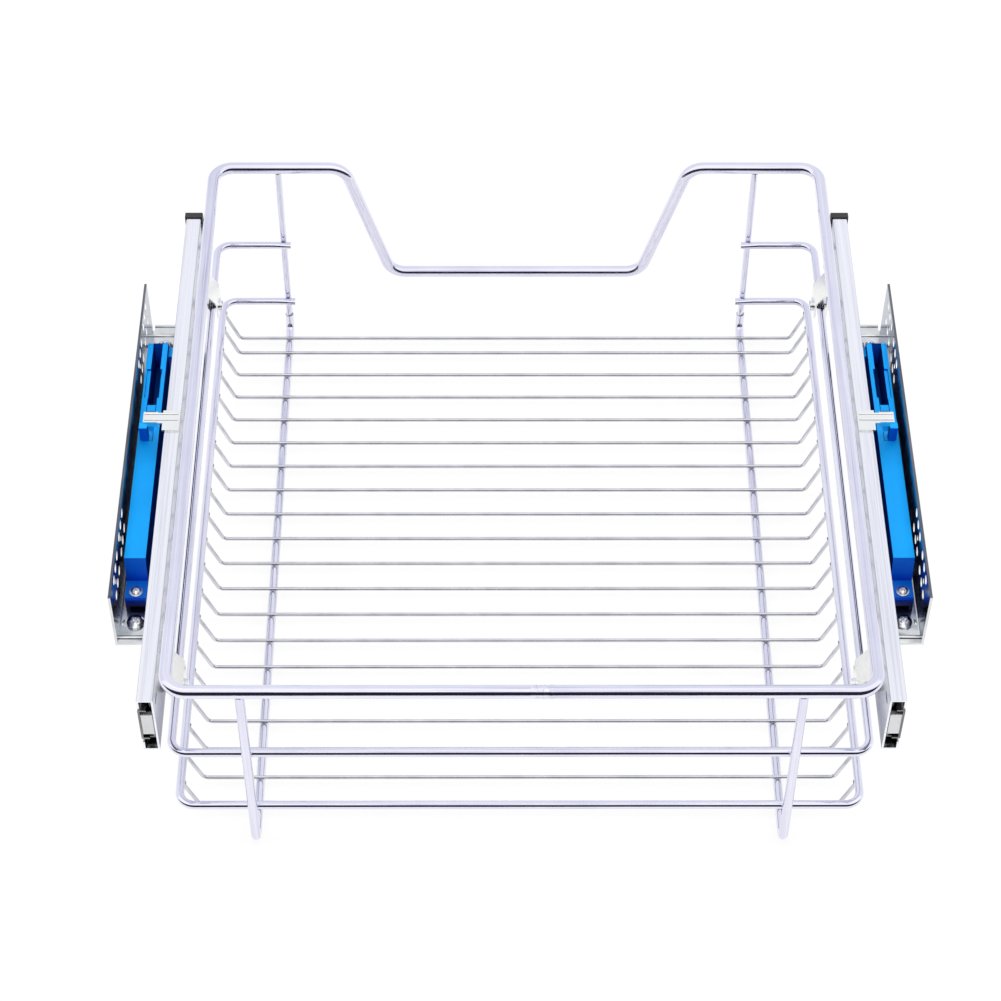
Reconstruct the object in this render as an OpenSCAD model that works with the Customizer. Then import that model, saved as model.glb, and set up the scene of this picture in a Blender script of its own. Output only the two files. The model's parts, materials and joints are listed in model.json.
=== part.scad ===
/* Pull-out wire basket for a 500 mm kitchen base cabinet.
   X runs across the cabinet, Z is up and the basket slides out along +Y, to its notched front.
   The origin is under the middle of the whole assembly, on the plane of the lowest wires. */

/* [Cabinet] */
// Clear width between the cabinet's side panels
cabinet_inner_w = 466; // [400:1:560]

/* [Basket] */
// Space from the rings' rod centres to the side panels
side_space = 37; // [36.5:0.5:40]
// Length by which the top frame's sides stand in from the rings
frame_inset = 2.5; // [1.5:0.5:8]
// Depth of the top frame, rod centre to rod centre
frame_l = 415; // [405:1:440]
// Height from the underside of the floor runners to the top of the frame
basket_h = 152.5; // [140:0.5:200]
// Diameter of the top frame's rod
frame_d = 7.5; // [6:0.5:9]
// Bend radius of the top frame's corners
frame_bend_r = 12; // [9:1:20]
// Diameter of the ring rods
ring_d = 5; // [4:0.5:5.5]
// Bend radius of the rings' corners
ring_bend_r = 9; // [6:1:14]
// Drop from the top frame to the middle ring
middle_ring_drop = 64.2; // [62:0.2:70]
// Drop from the top frame to the bottom ring
bottom_ring_drop = 116.5; // [110:0.5:118]
// Length by which the rings' open ends run past the front uprights
ring_end = 5; // [5:1:12]
// Depth of the dip in the top frame's front rail
notch_depth = 92.7; // [60:0.1:96]
// Half width of the dip at its top
notch_top_half = 110.7; // [95:0.1:125]
// Half width of the dip at its bottom
notch_bottom_half = 82.9; // [60:0.1:90]
// Bend radius of the dip
notch_bend_r = 13; // [10:1:18]

/* [Floor] */
// Distance from the rings' sides to the floor runners
runner_inset = 43; // [36:0.5:45]
// Diameter of the floor runners
runner_d = 5.5; // [5:0.5:6.5]
// Bend radius of the floor runners
runner_bend_r = 8; // [7:0.5:12]
// Height of the short rise at the runners' front ends, above the floor plane
runner_rise = 13; // [12:0.5:20]
// Diameter of the front uprights
upright_d = 4.5; // [4:0.5:5]
// Diameter of the floor wires
floor_wire_d = 2.4; // [2:0.1:3]
// Number of floor wires
floor_wire_count = 20; // [6:1:22]
// Distance from the rear rail to the first floor wire
floor_first = 21.6; // [18:0.1:22]
// Distance from the front rail to the last floor wire
floor_last = 14.3; // [12:0.1:16]
// Gap between the last two floor wires
floor_last_gap = 13.7; // [10:0.1:20]
// Distance from the rings' sides to the bends of the floor wires
floor_inset = 10; // [8:0.5:13]
// Bend radius of the floor wires
floor_bend_r = 4; // [3:0.5:6]
// Depth that one wire sinks into another at a weld
weld_sink = 0.2; // [0.1:0.05:0.3]

/* [Slides] */
// Height of the telescopic slides
slide_h = 45.4; // [44:0.1:46]
// Depth of the channel fixed to the basket
channel_w = 9.2; // [9:0.1:9.6]
// Length of the slides
slide_len = 381; // [360:1:390]
// Thickness of the slide steel
slide_t = 1.2; // [1:0.05:1.25]
// Drop from the top frame's centre to the top of the slides
slide_drop = 9.9; // [9:0.1:11]
// Gap between a ring and the slide's web
ring_to_slide = 2; // [1.8:0.1:4]
// Distance from the rear rail's centre to the slides' rear ends
slide_start = 1; // [0:0.5:3]
// Length of the lips that close the channel's raceways
lip_h = 7; // [6:0.1:7]
// Diameter of the bearing balls
ball_d = 3.2; // [3:0.05:3.25]
// Height of a raceway
race_h = 3.5; // [3.5:0.05:3.6]
// Distance from the slides' rear ends to the ball cages
cage_start = 130; // [80:1:180]
// Number of balls in each row
ball_count = 9; // [3:1:12]
// Distance between balls in a row
ball_pitch = 12; // [8:0.5:14]
// Thickness of the ball cages' strips
cage_t = 0.8; // [0.6:0.1:0.9]
// Thickness of the ball cages' backs
cage_back_t = 0.6; // [0.5:0.05:0.7]
// Clearance between sliding steel parts
slide_gap = 0.3; // [0.25:0.05:0.35]
// Length by which the intermediate member is shorter than the slide, at each end
intermediate_inset = 5; // [4.5:0.5:12]
// Thickness of the plastic end caps
cap_t = 1; // [0.8:0.1:1.2]
// Length of the end caps
cap_len = 4.5; // [4:0.5:8]
// Thickness of the rear stop
stop_t = 3; // [2:0.5:3.5]
// Height of the rear stop
stop_h = 18; // [12:1:20]

/* [Clips] */
// Thickness of the clip sheet
clip_t = 1; // [0.8:0.1:1]
// Width of the clips along the slide
clip_w = 20; // [18:1:26]
// Distance from the rear rail to the rear clips
rear_clip_y = 57.6; // [50:0.1:70]
// Distance from the rear rail to the front clips
front_clip_y = 362; // [340:1:366]
// Length of a clip below the ring's centre
clip_tail = 12; // [11:0.5:16]
// Length of a clip's back above the ring's centre
clip_rise = 37; // [34:0.5:40]
// Diameter of the clip screws' shanks
clip_screw_d = 3.5; // [3:0.1:4]
// Diameter of the clip screws' heads
clip_head_d = 7; // [6:0.5:8]
// Diameter of the clip rivets
clip_rivet_d = 3; // [2.5:0.1:3.5]
// Distance between a clip's two rivets
clip_rivet_pitch = 11; // [9:0.5:12]
// Distance from a clip's top edge to its rivets
clip_rivet_inset = 4.5; // [4:0.5:5]
// Width of the window above a clip's strap, through the clip and the slide
clip_window_w = 13; // [10:0.5:14]

/* [Brackets] */
// Length of the cabinet brackets
bracket_l = 250; // [248:1:270]
// Length of the tongue past the plate at a bracket's front end
bracket_tongue_l = 5; // [4:0.5:8]
// Height of the cabinet brackets
bracket_h = 43.5; // [38:0.5:48]
// Drop from the slides' undersides to the brackets' undersides
bracket_drop = 6.2; // [5.2:0.1:8]
// Thickness of the bracket steel
bracket_t = 1.5; // [1.2:0.1:2]
// Distance from the rear rail to the brackets' rear edges
bracket_start = 78.5; // [74:0.5:82]
// Diameter of the bracket's screw holes
plate_hole_d = 5.5; // [4.5:0.1:6]
// Diameter of the bracket's pilot holes
pilot_hole_d = 3.2; // [2:0.1:3.5]
// Distance between the two rows of screw holes
plate_row_pitch = 13.5; // [12:0.5:14]
// Distance between neighbouring screw holes in a row
plate_col_pitch = 9; // [8:0.5:9.5]
// Distance between the two sets of three holes in a group
plate_set_pitch = 32; // [30:1:32]
// Distance between the rear and the front group of holes
plate_group_pitch = 169; // [150:1:180]
// Distance from the bracket's rear edge to the first hole
plate_hole_inset = 17.5; // [12:0.5:22]
// Distance from the bracket's top edge to the upper row of holes
plate_row_drop = 5.5; // [5:0.5:9]
// Distance from the bracket's ends to the width adjusting screws
foot_inset = 15; // [14:0.5:17]
// Width of a slide foot
foot_w = 20; // [16:1:24]
// Diameter of the width adjusting screws
foot_screw_d = 5; // [4:0.5:5]
// Diameter of the width adjusting screws' heads
foot_head_d = 10.2; // [9:0.1:11]
// Length of the slots for the width adjusting screws
foot_slot_l = 15.5; // [10:0.5:16]

/* [Soft-close dampers] */
// Width of the damper housing
damper_w = 12.5; // [12:0.1:13]
// Length of the damper housing without its foot
damper_l = 176; // [175:1:180]
// Height of the damper housing
damper_h = 27; // [26:0.5:28]
// Distance from the rear rail to the damper housing
damper_start = 117; // [112:0.5:120]
// Length of the damper's screw foot
damper_foot_l = 13.7; // [12:0.1:15]
// Height of the damper's screw foot
damper_foot_h = 9.8; // [8:0.2:12]
// Gap between the damper housing and the bracket's plate
damper_plate_gap = 2.6; // [0.5:0.1:3]
// Width of the catch's track
track_w = 5.8; // [5:0.1:6]
// Length of the catch's track
track_l = 81.5; // [77:0.5:84]
// Length of the catch
catch_l = 29; // [26:1:30]
// Travel of the catch
catch_travel = 45; // [30:1:46]
// Running clearance round the catch
catch_gap = 0.3; // [0.2:0.05:0.4]
// Height of the catch's block above the housing
catch_block_h = 11; // [8:0.5:11]
// Outer diameter of the damper cylinder
cylinder_d = 8; // [7:0.1:8.5]
// Bore of the damper cylinder
cylinder_bore = 6; // [5:0.1:6.5]
// Diameter of the piston rod
piston_rod_d = 2.5; // [2:0.1:3]
// Outer diameter of the closing spring
spring_d = 5; // [4:0.1:5.2]

/* [Closing tab] */
// Length of the tab along the slide
tab_l = 15.7; // [14:0.1:18]
// Distance from the rear rail to the tab
tab_start = 197.6; // [190:0.1:200]
// Reach of the tab beyond the slide's web
tab_reach = 22.2; // [21:0.1:23]
// Thickness of the tab's sheet
tab_t = 1.2; // [1:0.1:1.5]

/* [Hidden] */

// Overlap that makes cuts run through a face
eps = 0.01;
// Step and overlap where a rod's straight part enters a bend
joint_skin = 0.04;
joint_run = 0.5;
round_fn = 48;
small_fn = 32;

// Widths and planes of the basket
ring_w = cabinet_inner_w - 2 * side_space;
frame_w = ring_w - 2 * frame_inset;
runner_x = ring_w / 2 - runner_inset;
ring_gap_half = runner_x - ring_end;
floor_half = ring_w / 2 - floor_inset;
rear_y = -frame_l / 2;
front_y = frame_l / 2;
top_z = basket_h - frame_d / 2;
middle_z = top_z - middle_ring_drop;
bottom_z = top_z - bottom_ring_drop;
runner_z = runner_d / 2;
floor_z = runner_d + floor_wire_d / 2 - weld_sink;
floor_pitch = (frame_l - floor_first - floor_last - floor_last_gap) / (floor_wire_count - 2);
notch_z = top_z - notch_depth;
ring_rear_y = rear_y + runner_d / 2 + ring_d / 2 - weld_sink;
ring_front_y = front_y - upright_d / 2 - ring_d / 2 + weld_sink;
weld_seam_x = 16;

// Planes of the slides, on the side where X is negative
web_x = -(ring_w / 2 + ring_d / 2 + ring_to_slide);
slide_top_z = top_z - slide_drop;
slide_z = slide_top_z - slide_h / 2;
slide_y0 = rear_y + slide_start;
slide_y1 = slide_y0 + slide_len;
channel_v = slide_h / 2;
slide_w = channel_w + slide_gap;
middle_v = channel_v - slide_t - race_h;
inner_v = middle_v - slide_t - race_h;
outer_cage_u = slide_t + slide_gap;
middle_u = outer_cage_u + cage_back_t + slide_gap;
middle_flange_u = channel_w - slide_t - slide_gap;
inner_cage_u = middle_u + slide_t + slide_gap;
inner_flange_u = inner_cage_u + cage_back_t + slide_gap;
outer_ball_v = channel_v - slide_t - race_h / 2;
inner_ball_v = middle_v - slide_t - race_h / 2;
outer_ball_offset = 0.2;
inner_ball_offset = 2.1;
outer_ball_u = channel_w / 2 + outer_ball_offset;
inner_ball_u = inner_cage_u + inner_ball_offset;
inner_cage_end_u = slide_w - slide_t - slide_gap;
ball_play = 0.1;
ball_hole_d = ball_d + ball_play;
row_len = (ball_count - 1) * ball_pitch;
cage_len = row_len + 2 * ball_pitch;
intermediate_front_step = 2;
cabinet_rear_inset = 0.5;
cabinet_front_inset = 4;
intermediate_y0 = slide_y0 + intermediate_inset;
intermediate_y1 = slide_y1 - intermediate_inset - intermediate_front_step;
cabinet_y0 = slide_y0 + cabinet_rear_inset;
cabinet_y1 = slide_y1 - cabinet_front_inset;
cage_y0 = slide_y0 + cage_start;
// Slots in the slides: the drawer member's middle and rear slots and the intermediate member's
screw_slot_y = slide_y0 + slide_len / 2;
drawer_slot = [24, 6];
rear_slot = [8, 3];
rear_slot_inset = 10;
rear_slot_rise = 12;
middle_slot = [20, 8];

// Planes of the brackets
plate_x = -cabinet_inner_w / 2;
bracket_y0 = rear_y + bracket_start;
bracket_y1 = bracket_y0 + bracket_l;
bracket_z = slide_top_z - slide_h - bracket_drop;
bracket_top_z = bracket_z + bracket_h;
flange_top_z = bracket_z + bracket_t;
foot_x = web_x - slide_w;
foot_t = 1.5;
flange_gap = 0.8;
flange_x = foot_x - foot_t - flange_gap;
foot_screw_x = (flange_x + plate_x) / 2;
foot_ys = [bracket_y0 + foot_inset, bracket_y1 - foot_inset];
foot_top_v = 8;
foot_end_gap = 3;
foot_rivet_d = 4;
foot_rivet_head = 1;
nut_t = 4;
nut_af = 8;
clip_nut_t = 2.4;
clip_nut_af = 6;
screw_head_h = 3.2;
slot_play = 0.4;
shank_gap = 0.1;
hole_cols = [for (set = [0, 1], col = [0 : 2]) set * plate_set_pitch + col * plate_col_pitch];

// Planes of the dampers
damper_x0 = plate_x + bracket_t + damper_plate_gap;
damper_x1 = damper_x0 + damper_w;
damper_xm = (damper_x0 + damper_x1) / 2;
damper_y0 = rear_y + damper_start;
damper_y1 = damper_y0 + damper_l;
damper_top_z = flange_top_z + damper_h;
damper_wall = 1.6;
track_end_wall = 1;
track_y1 = damper_y1 - track_end_wall;
track_y0 = track_y1 - track_l;
track_floor_t = 5;
track_floor_z = flange_top_z + track_floor_t;
catch_y0 = track_y0 + catch_gap;
// The stretch of the track past the catch, with a shelf outside it and a groove inside it
shelf_start = 6;
shelf_l = 24;
shelf_y0 = catch_y0 + catch_l + shelf_start;
shelf_y1 = shelf_y0 + shelf_l;
cylinder_rise = 9.8;
cylinder_z = flange_top_z + cylinder_rise;
spring_wall = 2.2;
spring_z = cylinder_z + cylinder_d / 2 + spring_d / 2 + spring_wall;
damper_end_wall = 5;
cylinder_y0 = damper_y0 + damper_end_wall;
cylinder_y1 = track_y0 - damper_end_wall;
piston_start = 8;
piston_y0 = cylinder_y0 + piston_start;
damper_screw_inset = 5.4;
damper_rear_y = damper_y0 - damper_foot_l;
damper_screw_y = damper_rear_y + damper_screw_inset;
damper_screw_d = 3;
damper_screw_head = [5.8, 1.9];
washer_d = 8;
washer_t = 0.8;
// Depth at which the piston rod enters the catch
piston_rod_seat = 6;

// Outline of the closing tab
tab_y0 = rear_y + tab_start;
tab_y1 = tab_y0 + tab_l;
tab_neck_run = 1.4;
tab_neck_w = 3;
tab_neck_u = channel_w + tab_neck_run;
tab_hook_u = tab_neck_u + tab_neck_w;
tab_leg_len = 10.6;
tab_neck_start = 5.6;
tab_neck_end = 3.4;
tab_hook_start = 6.2;
tab_hook_end = 1.2;

// ---- Helpers ----

function unit(v) = v / norm(v);

// Turns a child so that its X axis points along x_dir and its Z axis along z_dir, at place p
module frame_at(p, x_dir, z_dir) {
    y_dir = cross(z_dir, x_dir);
    multmatrix([[x_dir[0], y_dir[0], z_dir[0], p[0]],
                [x_dir[1], y_dir[1], z_dir[1], p[1]],
                [x_dir[2], y_dir[2], z_dir[2], p[2]]])
        children();
}

// A straight rod from a to b
module rod(a, b, d) {
    along = unit(b - a);
    side = abs(along[2]) > 0.9 ? [1, 0, 0] : [0, 0, 1];
    across = unit(cross(side, along));
    frame_at(a, across, along)
        cylinder(h = norm(b - a), d = d, $fn = round_fn);
}

// Length that a bend of radius r at point b takes from each of its straight legs
function bend_cut(a, b, c, r) =
    let (half = acos(unit(a - b) * unit(c - b)) / 2)
    r / tan(half);

// The bent part of a rod at point b, between the legs to a and c
module bend(a, b, c, r, d) {
    to_a = unit(a - b);
    to_c = unit(c - b);
    half = acos(to_a * to_c) / 2;
    centre = b + unit(to_a + to_c) * r / sin(half);
    start = b + to_a * r / tan(half);
    frame_at(centre, unit(start - centre), unit(cross(to_c, to_a)))
        rotate_extrude(angle = 180 - 2 * half, $fn = round_fn)
            translate([r, 0])
                circle(d = d, $fn = round_fn);
}

// A rod bent along points, with one bend radius for each inner point. Its straight parts are a
// hair thinner than its bends and run a little way into them, so that each joint is sound.
module bent_rod(points, radii, d) {
    last = len(points) - 1;
    cuts = [for (i = [0 : last]) (i == 0 || i == last) ? 0
        : bend_cut(points[i - 1], points[i], points[i + 1], radii[i - 1]) - joint_run];
    union() {
        for (i = [0 : last - 1]) {
            along = unit(points[i + 1] - points[i]);
            rod(points[i] + along * cuts[i], points[i + 1] - along * cuts[i + 1],
                d - 2 * joint_skin);
        }
        for (i = [1 : last - 1])
            bend(points[i - 1], points[i], points[i + 1], radii[i - 1], d);
    }
}

// A flat strip of thickness t that follows 2D points, with round bends
module strip(points, t) {
    for (i = [0 : len(points) - 2]) {
        a = points[i];
        b = points[i + 1];
        translate(a)
            rotate(atan2(b[1] - a[1], b[0] - a[0]))
                translate([0, -t / 2])
                    square([norm(b - a), t]);
    }
    for (i = [1 : len(points) - 2])
        translate(points[i])
            circle(d = t, $fn = small_fn);
}

// Draws a child's X and Y as X and Z, from y0 to y1
module along_y(y0, y1) {
    translate([0, y1, 0])
        rotate([90, 0, 0])
            linear_extrude(height = y1 - y0)
                children();
}

// A cylinder along X, centred at x
module bar_x(x, y, z, h, d, fn = small_fn) {
    translate([x - h / 2, y, z])
        rotate([0, 90, 0])
            cylinder(h = h, d = d, $fn = fn);
}

// A box between two corners
module block(low, high) {
    translate(low)
        cube(high - low);
}

// A slot along Y, cut through a sheet that faces X
module slot_yz(x, y, z, l, h, depth) {
    hull_l = l - h;
    bar_x(x, y - hull_l / 2, z, depth, h);
    bar_x(x, y + hull_l / 2, z, depth, h);
    block([x - depth / 2, y - hull_l / 2, z - h / 2], [x + depth / 2, y + hull_l / 2, z + h / 2]);
}

// Draws the part of one side; the side where X is positive is its mirror image
module on_side(side) {
    if (side < 0)
        children();
    else
        mirror([1, 0, 0])
            children();
}

// ---- Basket wires ----

module top_frame() {
    x = frame_w / 2;
    points = [[weld_seam_x, rear_y, top_z], [x, rear_y, top_z], [x, front_y, top_z],
        [notch_top_half, front_y, top_z], [notch_bottom_half, front_y, notch_z],
        [-notch_bottom_half, front_y, notch_z], [-notch_top_half, front_y, top_z],
        [-x, front_y, top_z], [-x, rear_y, top_z], [weld_seam_x, rear_y, top_z]];
    radii = [frame_bend_r, frame_bend_r, notch_bend_r, notch_bend_r, notch_bend_r, notch_bend_r,
        frame_bend_r, frame_bend_r];
    color([0.9, 0.9, 0.95])
        bent_rod(points, radii, frame_d);
}

module open_ring(z) {
    x = ring_w / 2;
    points = [[-ring_gap_half, ring_front_y, z], [-x, ring_front_y, z], [-x, ring_rear_y, z],
        [x, ring_rear_y, z], [x, ring_front_y, z], [ring_gap_half, ring_front_y, z]];
    color([0.88, 0.88, 0.94])
        bent_rod(points, [for (i = [1 : 4]) ring_bend_r], ring_d);
}

module floor_wires() {
    ring_x = ring_w / 2;
    rise = unit([ring_x - floor_half, bottom_z - floor_z]);
    end_x = ring_x - rise[0] * (ring_d / 2 - weld_sink);
    end_z = bottom_z - rise[1] * (ring_d / 2 - weld_sink);
    places = [for (i = [0 : floor_wire_count - 1])
        i < floor_wire_count - 1 ? rear_y + floor_first + i * floor_pitch : front_y - floor_last];
    color([0.82, 0.82, 0.88])
        for (y = places)
            bent_rod([[-end_x, y, end_z], [-floor_half, y, floor_z], [floor_half, y, floor_z],
                [end_x, y, end_z]], [floor_bend_r, floor_bend_r], floor_wire_d);
}

module floor_runner(side) {
    x = side * runner_x;
    rise_z = runner_z + runner_rise;
    points = [[x, rear_y, top_z - frame_d / 2 + weld_sink], [x, rear_y, runner_z],
        [x, front_y, runner_z], [x, front_y, rise_z]];
    color([0.86, 0.86, 0.92])
        bent_rod(points, [runner_bend_r, runner_bend_r], runner_d);
}

module front_upright(side) {
    x = side * runner_x;
    color([0.86, 0.86, 0.92])
        rod([x, front_y, runner_z + runner_rise], [x, front_y, top_z - frame_d / 2 + weld_sink],
            upright_d);
}

// ---- Clips between the middle ring and the slides ----

clip_ring_gap = 0.2;
clip_fold_rise = 14;
clip_turn_rise = 2.5;
clip_bend_l = 4;
clip_back_x = web_x + clip_t / 2;
clip_front_x = -ring_w / 2 + ring_d / 2 + clip_t / 2 + clip_ring_gap;
clip_fold_z = middle_z + clip_fold_rise;
clip_low_z = middle_z - clip_tail;
clip_screw_rise = 5;
clip_screw_z = clip_low_z + clip_screw_rise;
clip_rivet_z = middle_z + clip_rise - clip_rivet_inset;
clip_rivet_head = [6, 1.2];
clip_window_edge = 1;
clip_window_z0 = clip_fold_z + clip_bend_l + clip_window_edge;
clip_window_z1 = clip_rivet_z - clip_rivet_head[0] / 2 - clip_window_edge;
clip_ys = [rear_y + rear_clip_y, rear_y + front_clip_y];

// Places along the slide of the two rivets of the clip at y
function clip_rivet_ys(y) = [y - clip_rivet_pitch / 2, y + clip_rivet_pitch / 2];

// What is cut from the clip at y and from the slide's web behind it
module clip_cuts(y) {
    cut_l = 2 * (clip_t + slide_t);
    for (rivet_y = clip_rivet_ys(y))
        bar_x(web_x, rivet_y, clip_rivet_z, cut_l, clip_rivet_d + shank_gap);
    block([web_x - cut_l / 2, y - clip_window_w / 2, clip_window_z0],
        [web_x + cut_l / 2, y + clip_window_w / 2, clip_window_z1]);
}

module clip(y) {
    corner_r = 6;
    margin = 5;
    strap_w = clip_front_x - web_x + 2 * margin;
    color([0.92, 0.92, 0.9])
        difference() {
            intersection() {
                along_y(y - clip_w / 2, y + clip_w / 2) {
                    translate([web_x, clip_low_z])
                        square([clip_t, clip_tail + clip_rise]);
                    strip([[clip_back_x, clip_fold_z + clip_bend_l], [clip_back_x, clip_fold_z],
                        [clip_front_x, middle_z + clip_turn_rise], [clip_front_x, clip_low_z]],
                        clip_t);
                }
                union() {
                    block([web_x - margin, y - clip_w / 2 - 1, clip_low_z + corner_r],
                        [clip_front_x + margin, y + clip_w / 2 + 1, middle_z + clip_rise + 1]);
                    block([web_x - margin, y - clip_w / 2 + corner_r, clip_low_z - 1],
                        [clip_front_x + margin, y + clip_w / 2 - corner_r,
                        clip_low_z + corner_r + 1]);
                    for (s = [-1, 1])
                        bar_x((web_x + clip_front_x) / 2, y + s * (clip_w / 2 - corner_r),
                            clip_low_z + corner_r, strap_w, 2 * corner_r, round_fn);
                }
            }
            bar_x((web_x + clip_front_x) / 2, y, clip_screw_z, strap_w, clip_screw_d + shank_gap);
            clip_cuts(y);
        }
}

module clip_rivets() {
    grip = clip_t + slide_t;
    color([0.8, 0.8, 0.82])
        for (side = [-1, 1], clip_y = clip_ys, y = clip_rivet_ys(clip_y))
            on_side(side) {
                bar_x(web_x + clip_t + clip_rivet_head[1] / 2, y, clip_rivet_z,
                    clip_rivet_head[1], clip_rivet_head[0]);
                bar_x(web_x + clip_t - grip / 2, y, clip_rivet_z, grip, clip_rivet_d);
            }
}

module clip_screws() {
    head_t = 2;
    head_x = clip_front_x + clip_t / 2;
    tip_x = web_x - clip_nut_t - 1;
    slot_w = 1;
    slot_h = 0.8;
    color([0.9, 0.9, 0.92])
        for (side = [-1, 1], y = clip_ys)
            on_side(side)
                difference() {
                    union() {
                        bar_x(head_x + head_t / 2, y, clip_screw_z, head_t, clip_head_d);
                        bar_x((head_x + tip_x) / 2, y, clip_screw_z, head_x - tip_x + eps,
                            clip_screw_d);
                    }
                    block([head_x + head_t - slot_h, y - clip_head_d, clip_screw_z - slot_w / 2],
                        [head_x + head_t + 1, y + clip_head_d, clip_screw_z + slot_w / 2]);
                }
}

module clip_nuts() {
    nut_x = web_x - clip_nut_t / 2;
    color([0.75, 0.75, 0.78])
        for (side = [-1, 1], y = clip_ys)
            on_side(side)
                difference() {
                    bar_x(nut_x, y, clip_screw_z, clip_nut_t, clip_nut_af / cos(30), 6);
                    bar_x(nut_x, y, clip_screw_z, 3 * clip_nut_t, clip_screw_d + shank_gap);
                }
}

// ---- Telescopic slides, drawn for the side where X is negative ----

// Turns a profile's u, outward from the basket, and v, up from the slide's middle, into X and Z
module slide_profile() {
    translate([web_x, slide_z])
        mirror([1, 0])
            children();
}

module drawer_member(side) {
    color([0.78, 0.79, 0.83])
        on_side(side)
            difference() {
                along_y(slide_y0, slide_y1)
                    slide_profile()
                        for (s = [-1, 1])
                            strip([[slide_t / 2, 0], [slide_t / 2, s * (channel_v - slide_t / 2)],
                                [channel_w - slide_t / 2, s * (channel_v - slide_t / 2)],
                                [channel_w - slide_t / 2, s * (channel_v - lip_h)]], slide_t);
                for (y = clip_ys)
                    clip_cuts(y);
                slot_yz(web_x - slide_t / 2, screw_slot_y, slide_z, drawer_slot[0],
                    drawer_slot[1], 3 * slide_t);
                slot_yz(web_x - slide_t / 2, slide_y0 + rear_slot_inset, slide_z + rear_slot_rise,
                    rear_slot[0], rear_slot[1], 3 * slide_t);
            }
}

module end_cap(side) {
    out_v = channel_v + cap_t;
    cap_y1 = slide_y1 + 1.5;
    color([0.1, 0.1, 0.11])
        on_side(side)
            difference() {
                along_y(cap_y1 - cap_len, cap_y1)
                    slide_profile()
                        translate([-cap_t, -out_v])
                            square([channel_w + 2 * cap_t, 2 * out_v]);
                along_y(cap_y1 - cap_len - 1, slide_y1)
                    slide_profile()
                        translate([0, -channel_v])
                            square([channel_w, 2 * channel_v]);
                along_y(cap_y1 - cap_len - 1, slide_y1)
                    slide_profile()
                        translate([channel_w - 1, -channel_v + lip_h])
                            square([3, 2 * (channel_v - lip_h)]);
            }
}

module closing_tab(side) {
    z0 = slide_top_z;
    z1 = z0 + tab_t;
    neck_y0 = tab_y0 + tab_neck_start;
    neck_y1 = tab_y1 - tab_neck_end;
    hook_y0 = tab_y0 + tab_hook_start;
    hook_y1 = tab_y1 - tab_hook_end;
    bead_d = 1.6;
    color([0.93, 0.93, 0.92])
        on_side(side)
            union() {
                block([web_x - tab_neck_u, tab_y0, z0], [web_x - 0.4, tab_y1, z1]);
                block([web_x - tab_hook_u - eps, neck_y0, z0], [web_x - tab_neck_u + eps, neck_y1, z1]);
                block([web_x - tab_reach, hook_y0, z0], [web_x - tab_hook_u, hook_y1, z1]);
                block([web_x - tab_reach + 0.8, hook_y1 - tab_t, z0 - tab_leg_len],
                    [web_x - tab_hook_u - 1, hook_y1, z0 + eps]);
                for (y = [hook_y0 + 2.2, hook_y1 - 1.6])
                    bar_x(web_x - tab_reach / 2 - 0.4, y, z1 - 0.2, tab_reach - 2, bead_d);
            }
}

// One ball cage: a back strip and two edge strips with holes for the balls
module ball_cage(back_u, end_u, ball_u, ball_v, y0) {
    difference() {
        along_y(y0, y0 + cage_len)
            slide_profile() {
                translate([back_u, -ball_v - cage_t / 2])
                    square([cage_back_t, 2 * ball_v + cage_t]);
                for (s = [-1, 1])
                    translate([back_u, s * ball_v - cage_t / 2])
                        square([end_u - back_u, cage_t]);
            }
        for (i = [0 : ball_count - 1], s = [-1, 1])
            translate([web_x - ball_u, y0 + ball_pitch * (i + 1), slide_z + s * ball_v - 1])
                cylinder(h = 2, d = ball_hole_d, $fn = small_fn);
        for (i = [0 : 3])
            block([web_x - back_u - 1, y0 + 6 + i * cage_len / 4, slide_z - ball_v + 4],
                [web_x - back_u + 1, y0 - 6 + (i + 1) * cage_len / 4, slide_z + ball_v - 4]);
    }
}

module ball_rows(ball_u, ball_v, y0) {
    for (i = [0 : ball_count - 1], s = [-1, 1])
        translate([web_x - ball_u, y0 + ball_pitch * (i + 1), slide_z + s * ball_v])
            sphere(d = ball_d, $fn = small_fn);
}

module outer_ball_cage(side) {
    color([0.7, 0.68, 0.6])
        on_side(side)
            ball_cage(outer_cage_u, middle_flange_u, outer_ball_u, outer_ball_v, cage_y0);
}

module outer_balls(side) {
    color([0.85, 0.85, 0.87])
        on_side(side)
            ball_rows(outer_ball_u, outer_ball_v, cage_y0);
}

module intermediate_member(side) {
    color([0.72, 0.73, 0.76])
        on_side(side)
            difference() {
                along_y(intermediate_y0, intermediate_y1)
                    slide_profile()
                        for (s = [-1, 1])
                            strip([[middle_u + slide_t / 2, 0],
                                [middle_u + slide_t / 2, s * (middle_v - slide_t / 2)],
                                [middle_flange_u, s * (middle_v - slide_t / 2)]], slide_t);
                slot_yz(web_x - middle_u - slide_t / 2, screw_slot_y, slide_z, middle_slot[0],
                    middle_slot[1], 2 * slide_t);
            }
}

module inner_ball_cage(side) {
    color([0.7, 0.68, 0.6])
        on_side(side)
            ball_cage(inner_cage_u, inner_cage_end_u, inner_ball_u, inner_ball_v, cage_y0);
}

module inner_balls(side) {
    color([0.85, 0.85, 0.87])
        on_side(side)
            ball_rows(inner_ball_u, inner_ball_v, cage_y0);
}

module cabinet_member(side) {
    color([0.74, 0.75, 0.78])
        on_side(side)
            difference() {
                along_y(cabinet_y0, cabinet_y1)
                    slide_profile()
                        for (s = [-1, 1])
                            strip([[slide_w - slide_t / 2, 0],
                                [slide_w - slide_t / 2, s * (inner_v - slide_t / 2)],
                                [inner_flange_u, s * (inner_v - slide_t / 2)]], slide_t);
                for (y = foot_ys)
                    bar_x(web_x - slide_w + slide_t / 2, y, slide_z, 2.2 * slide_t,
                        foot_rivet_d + shank_gap);
            }
}

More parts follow.
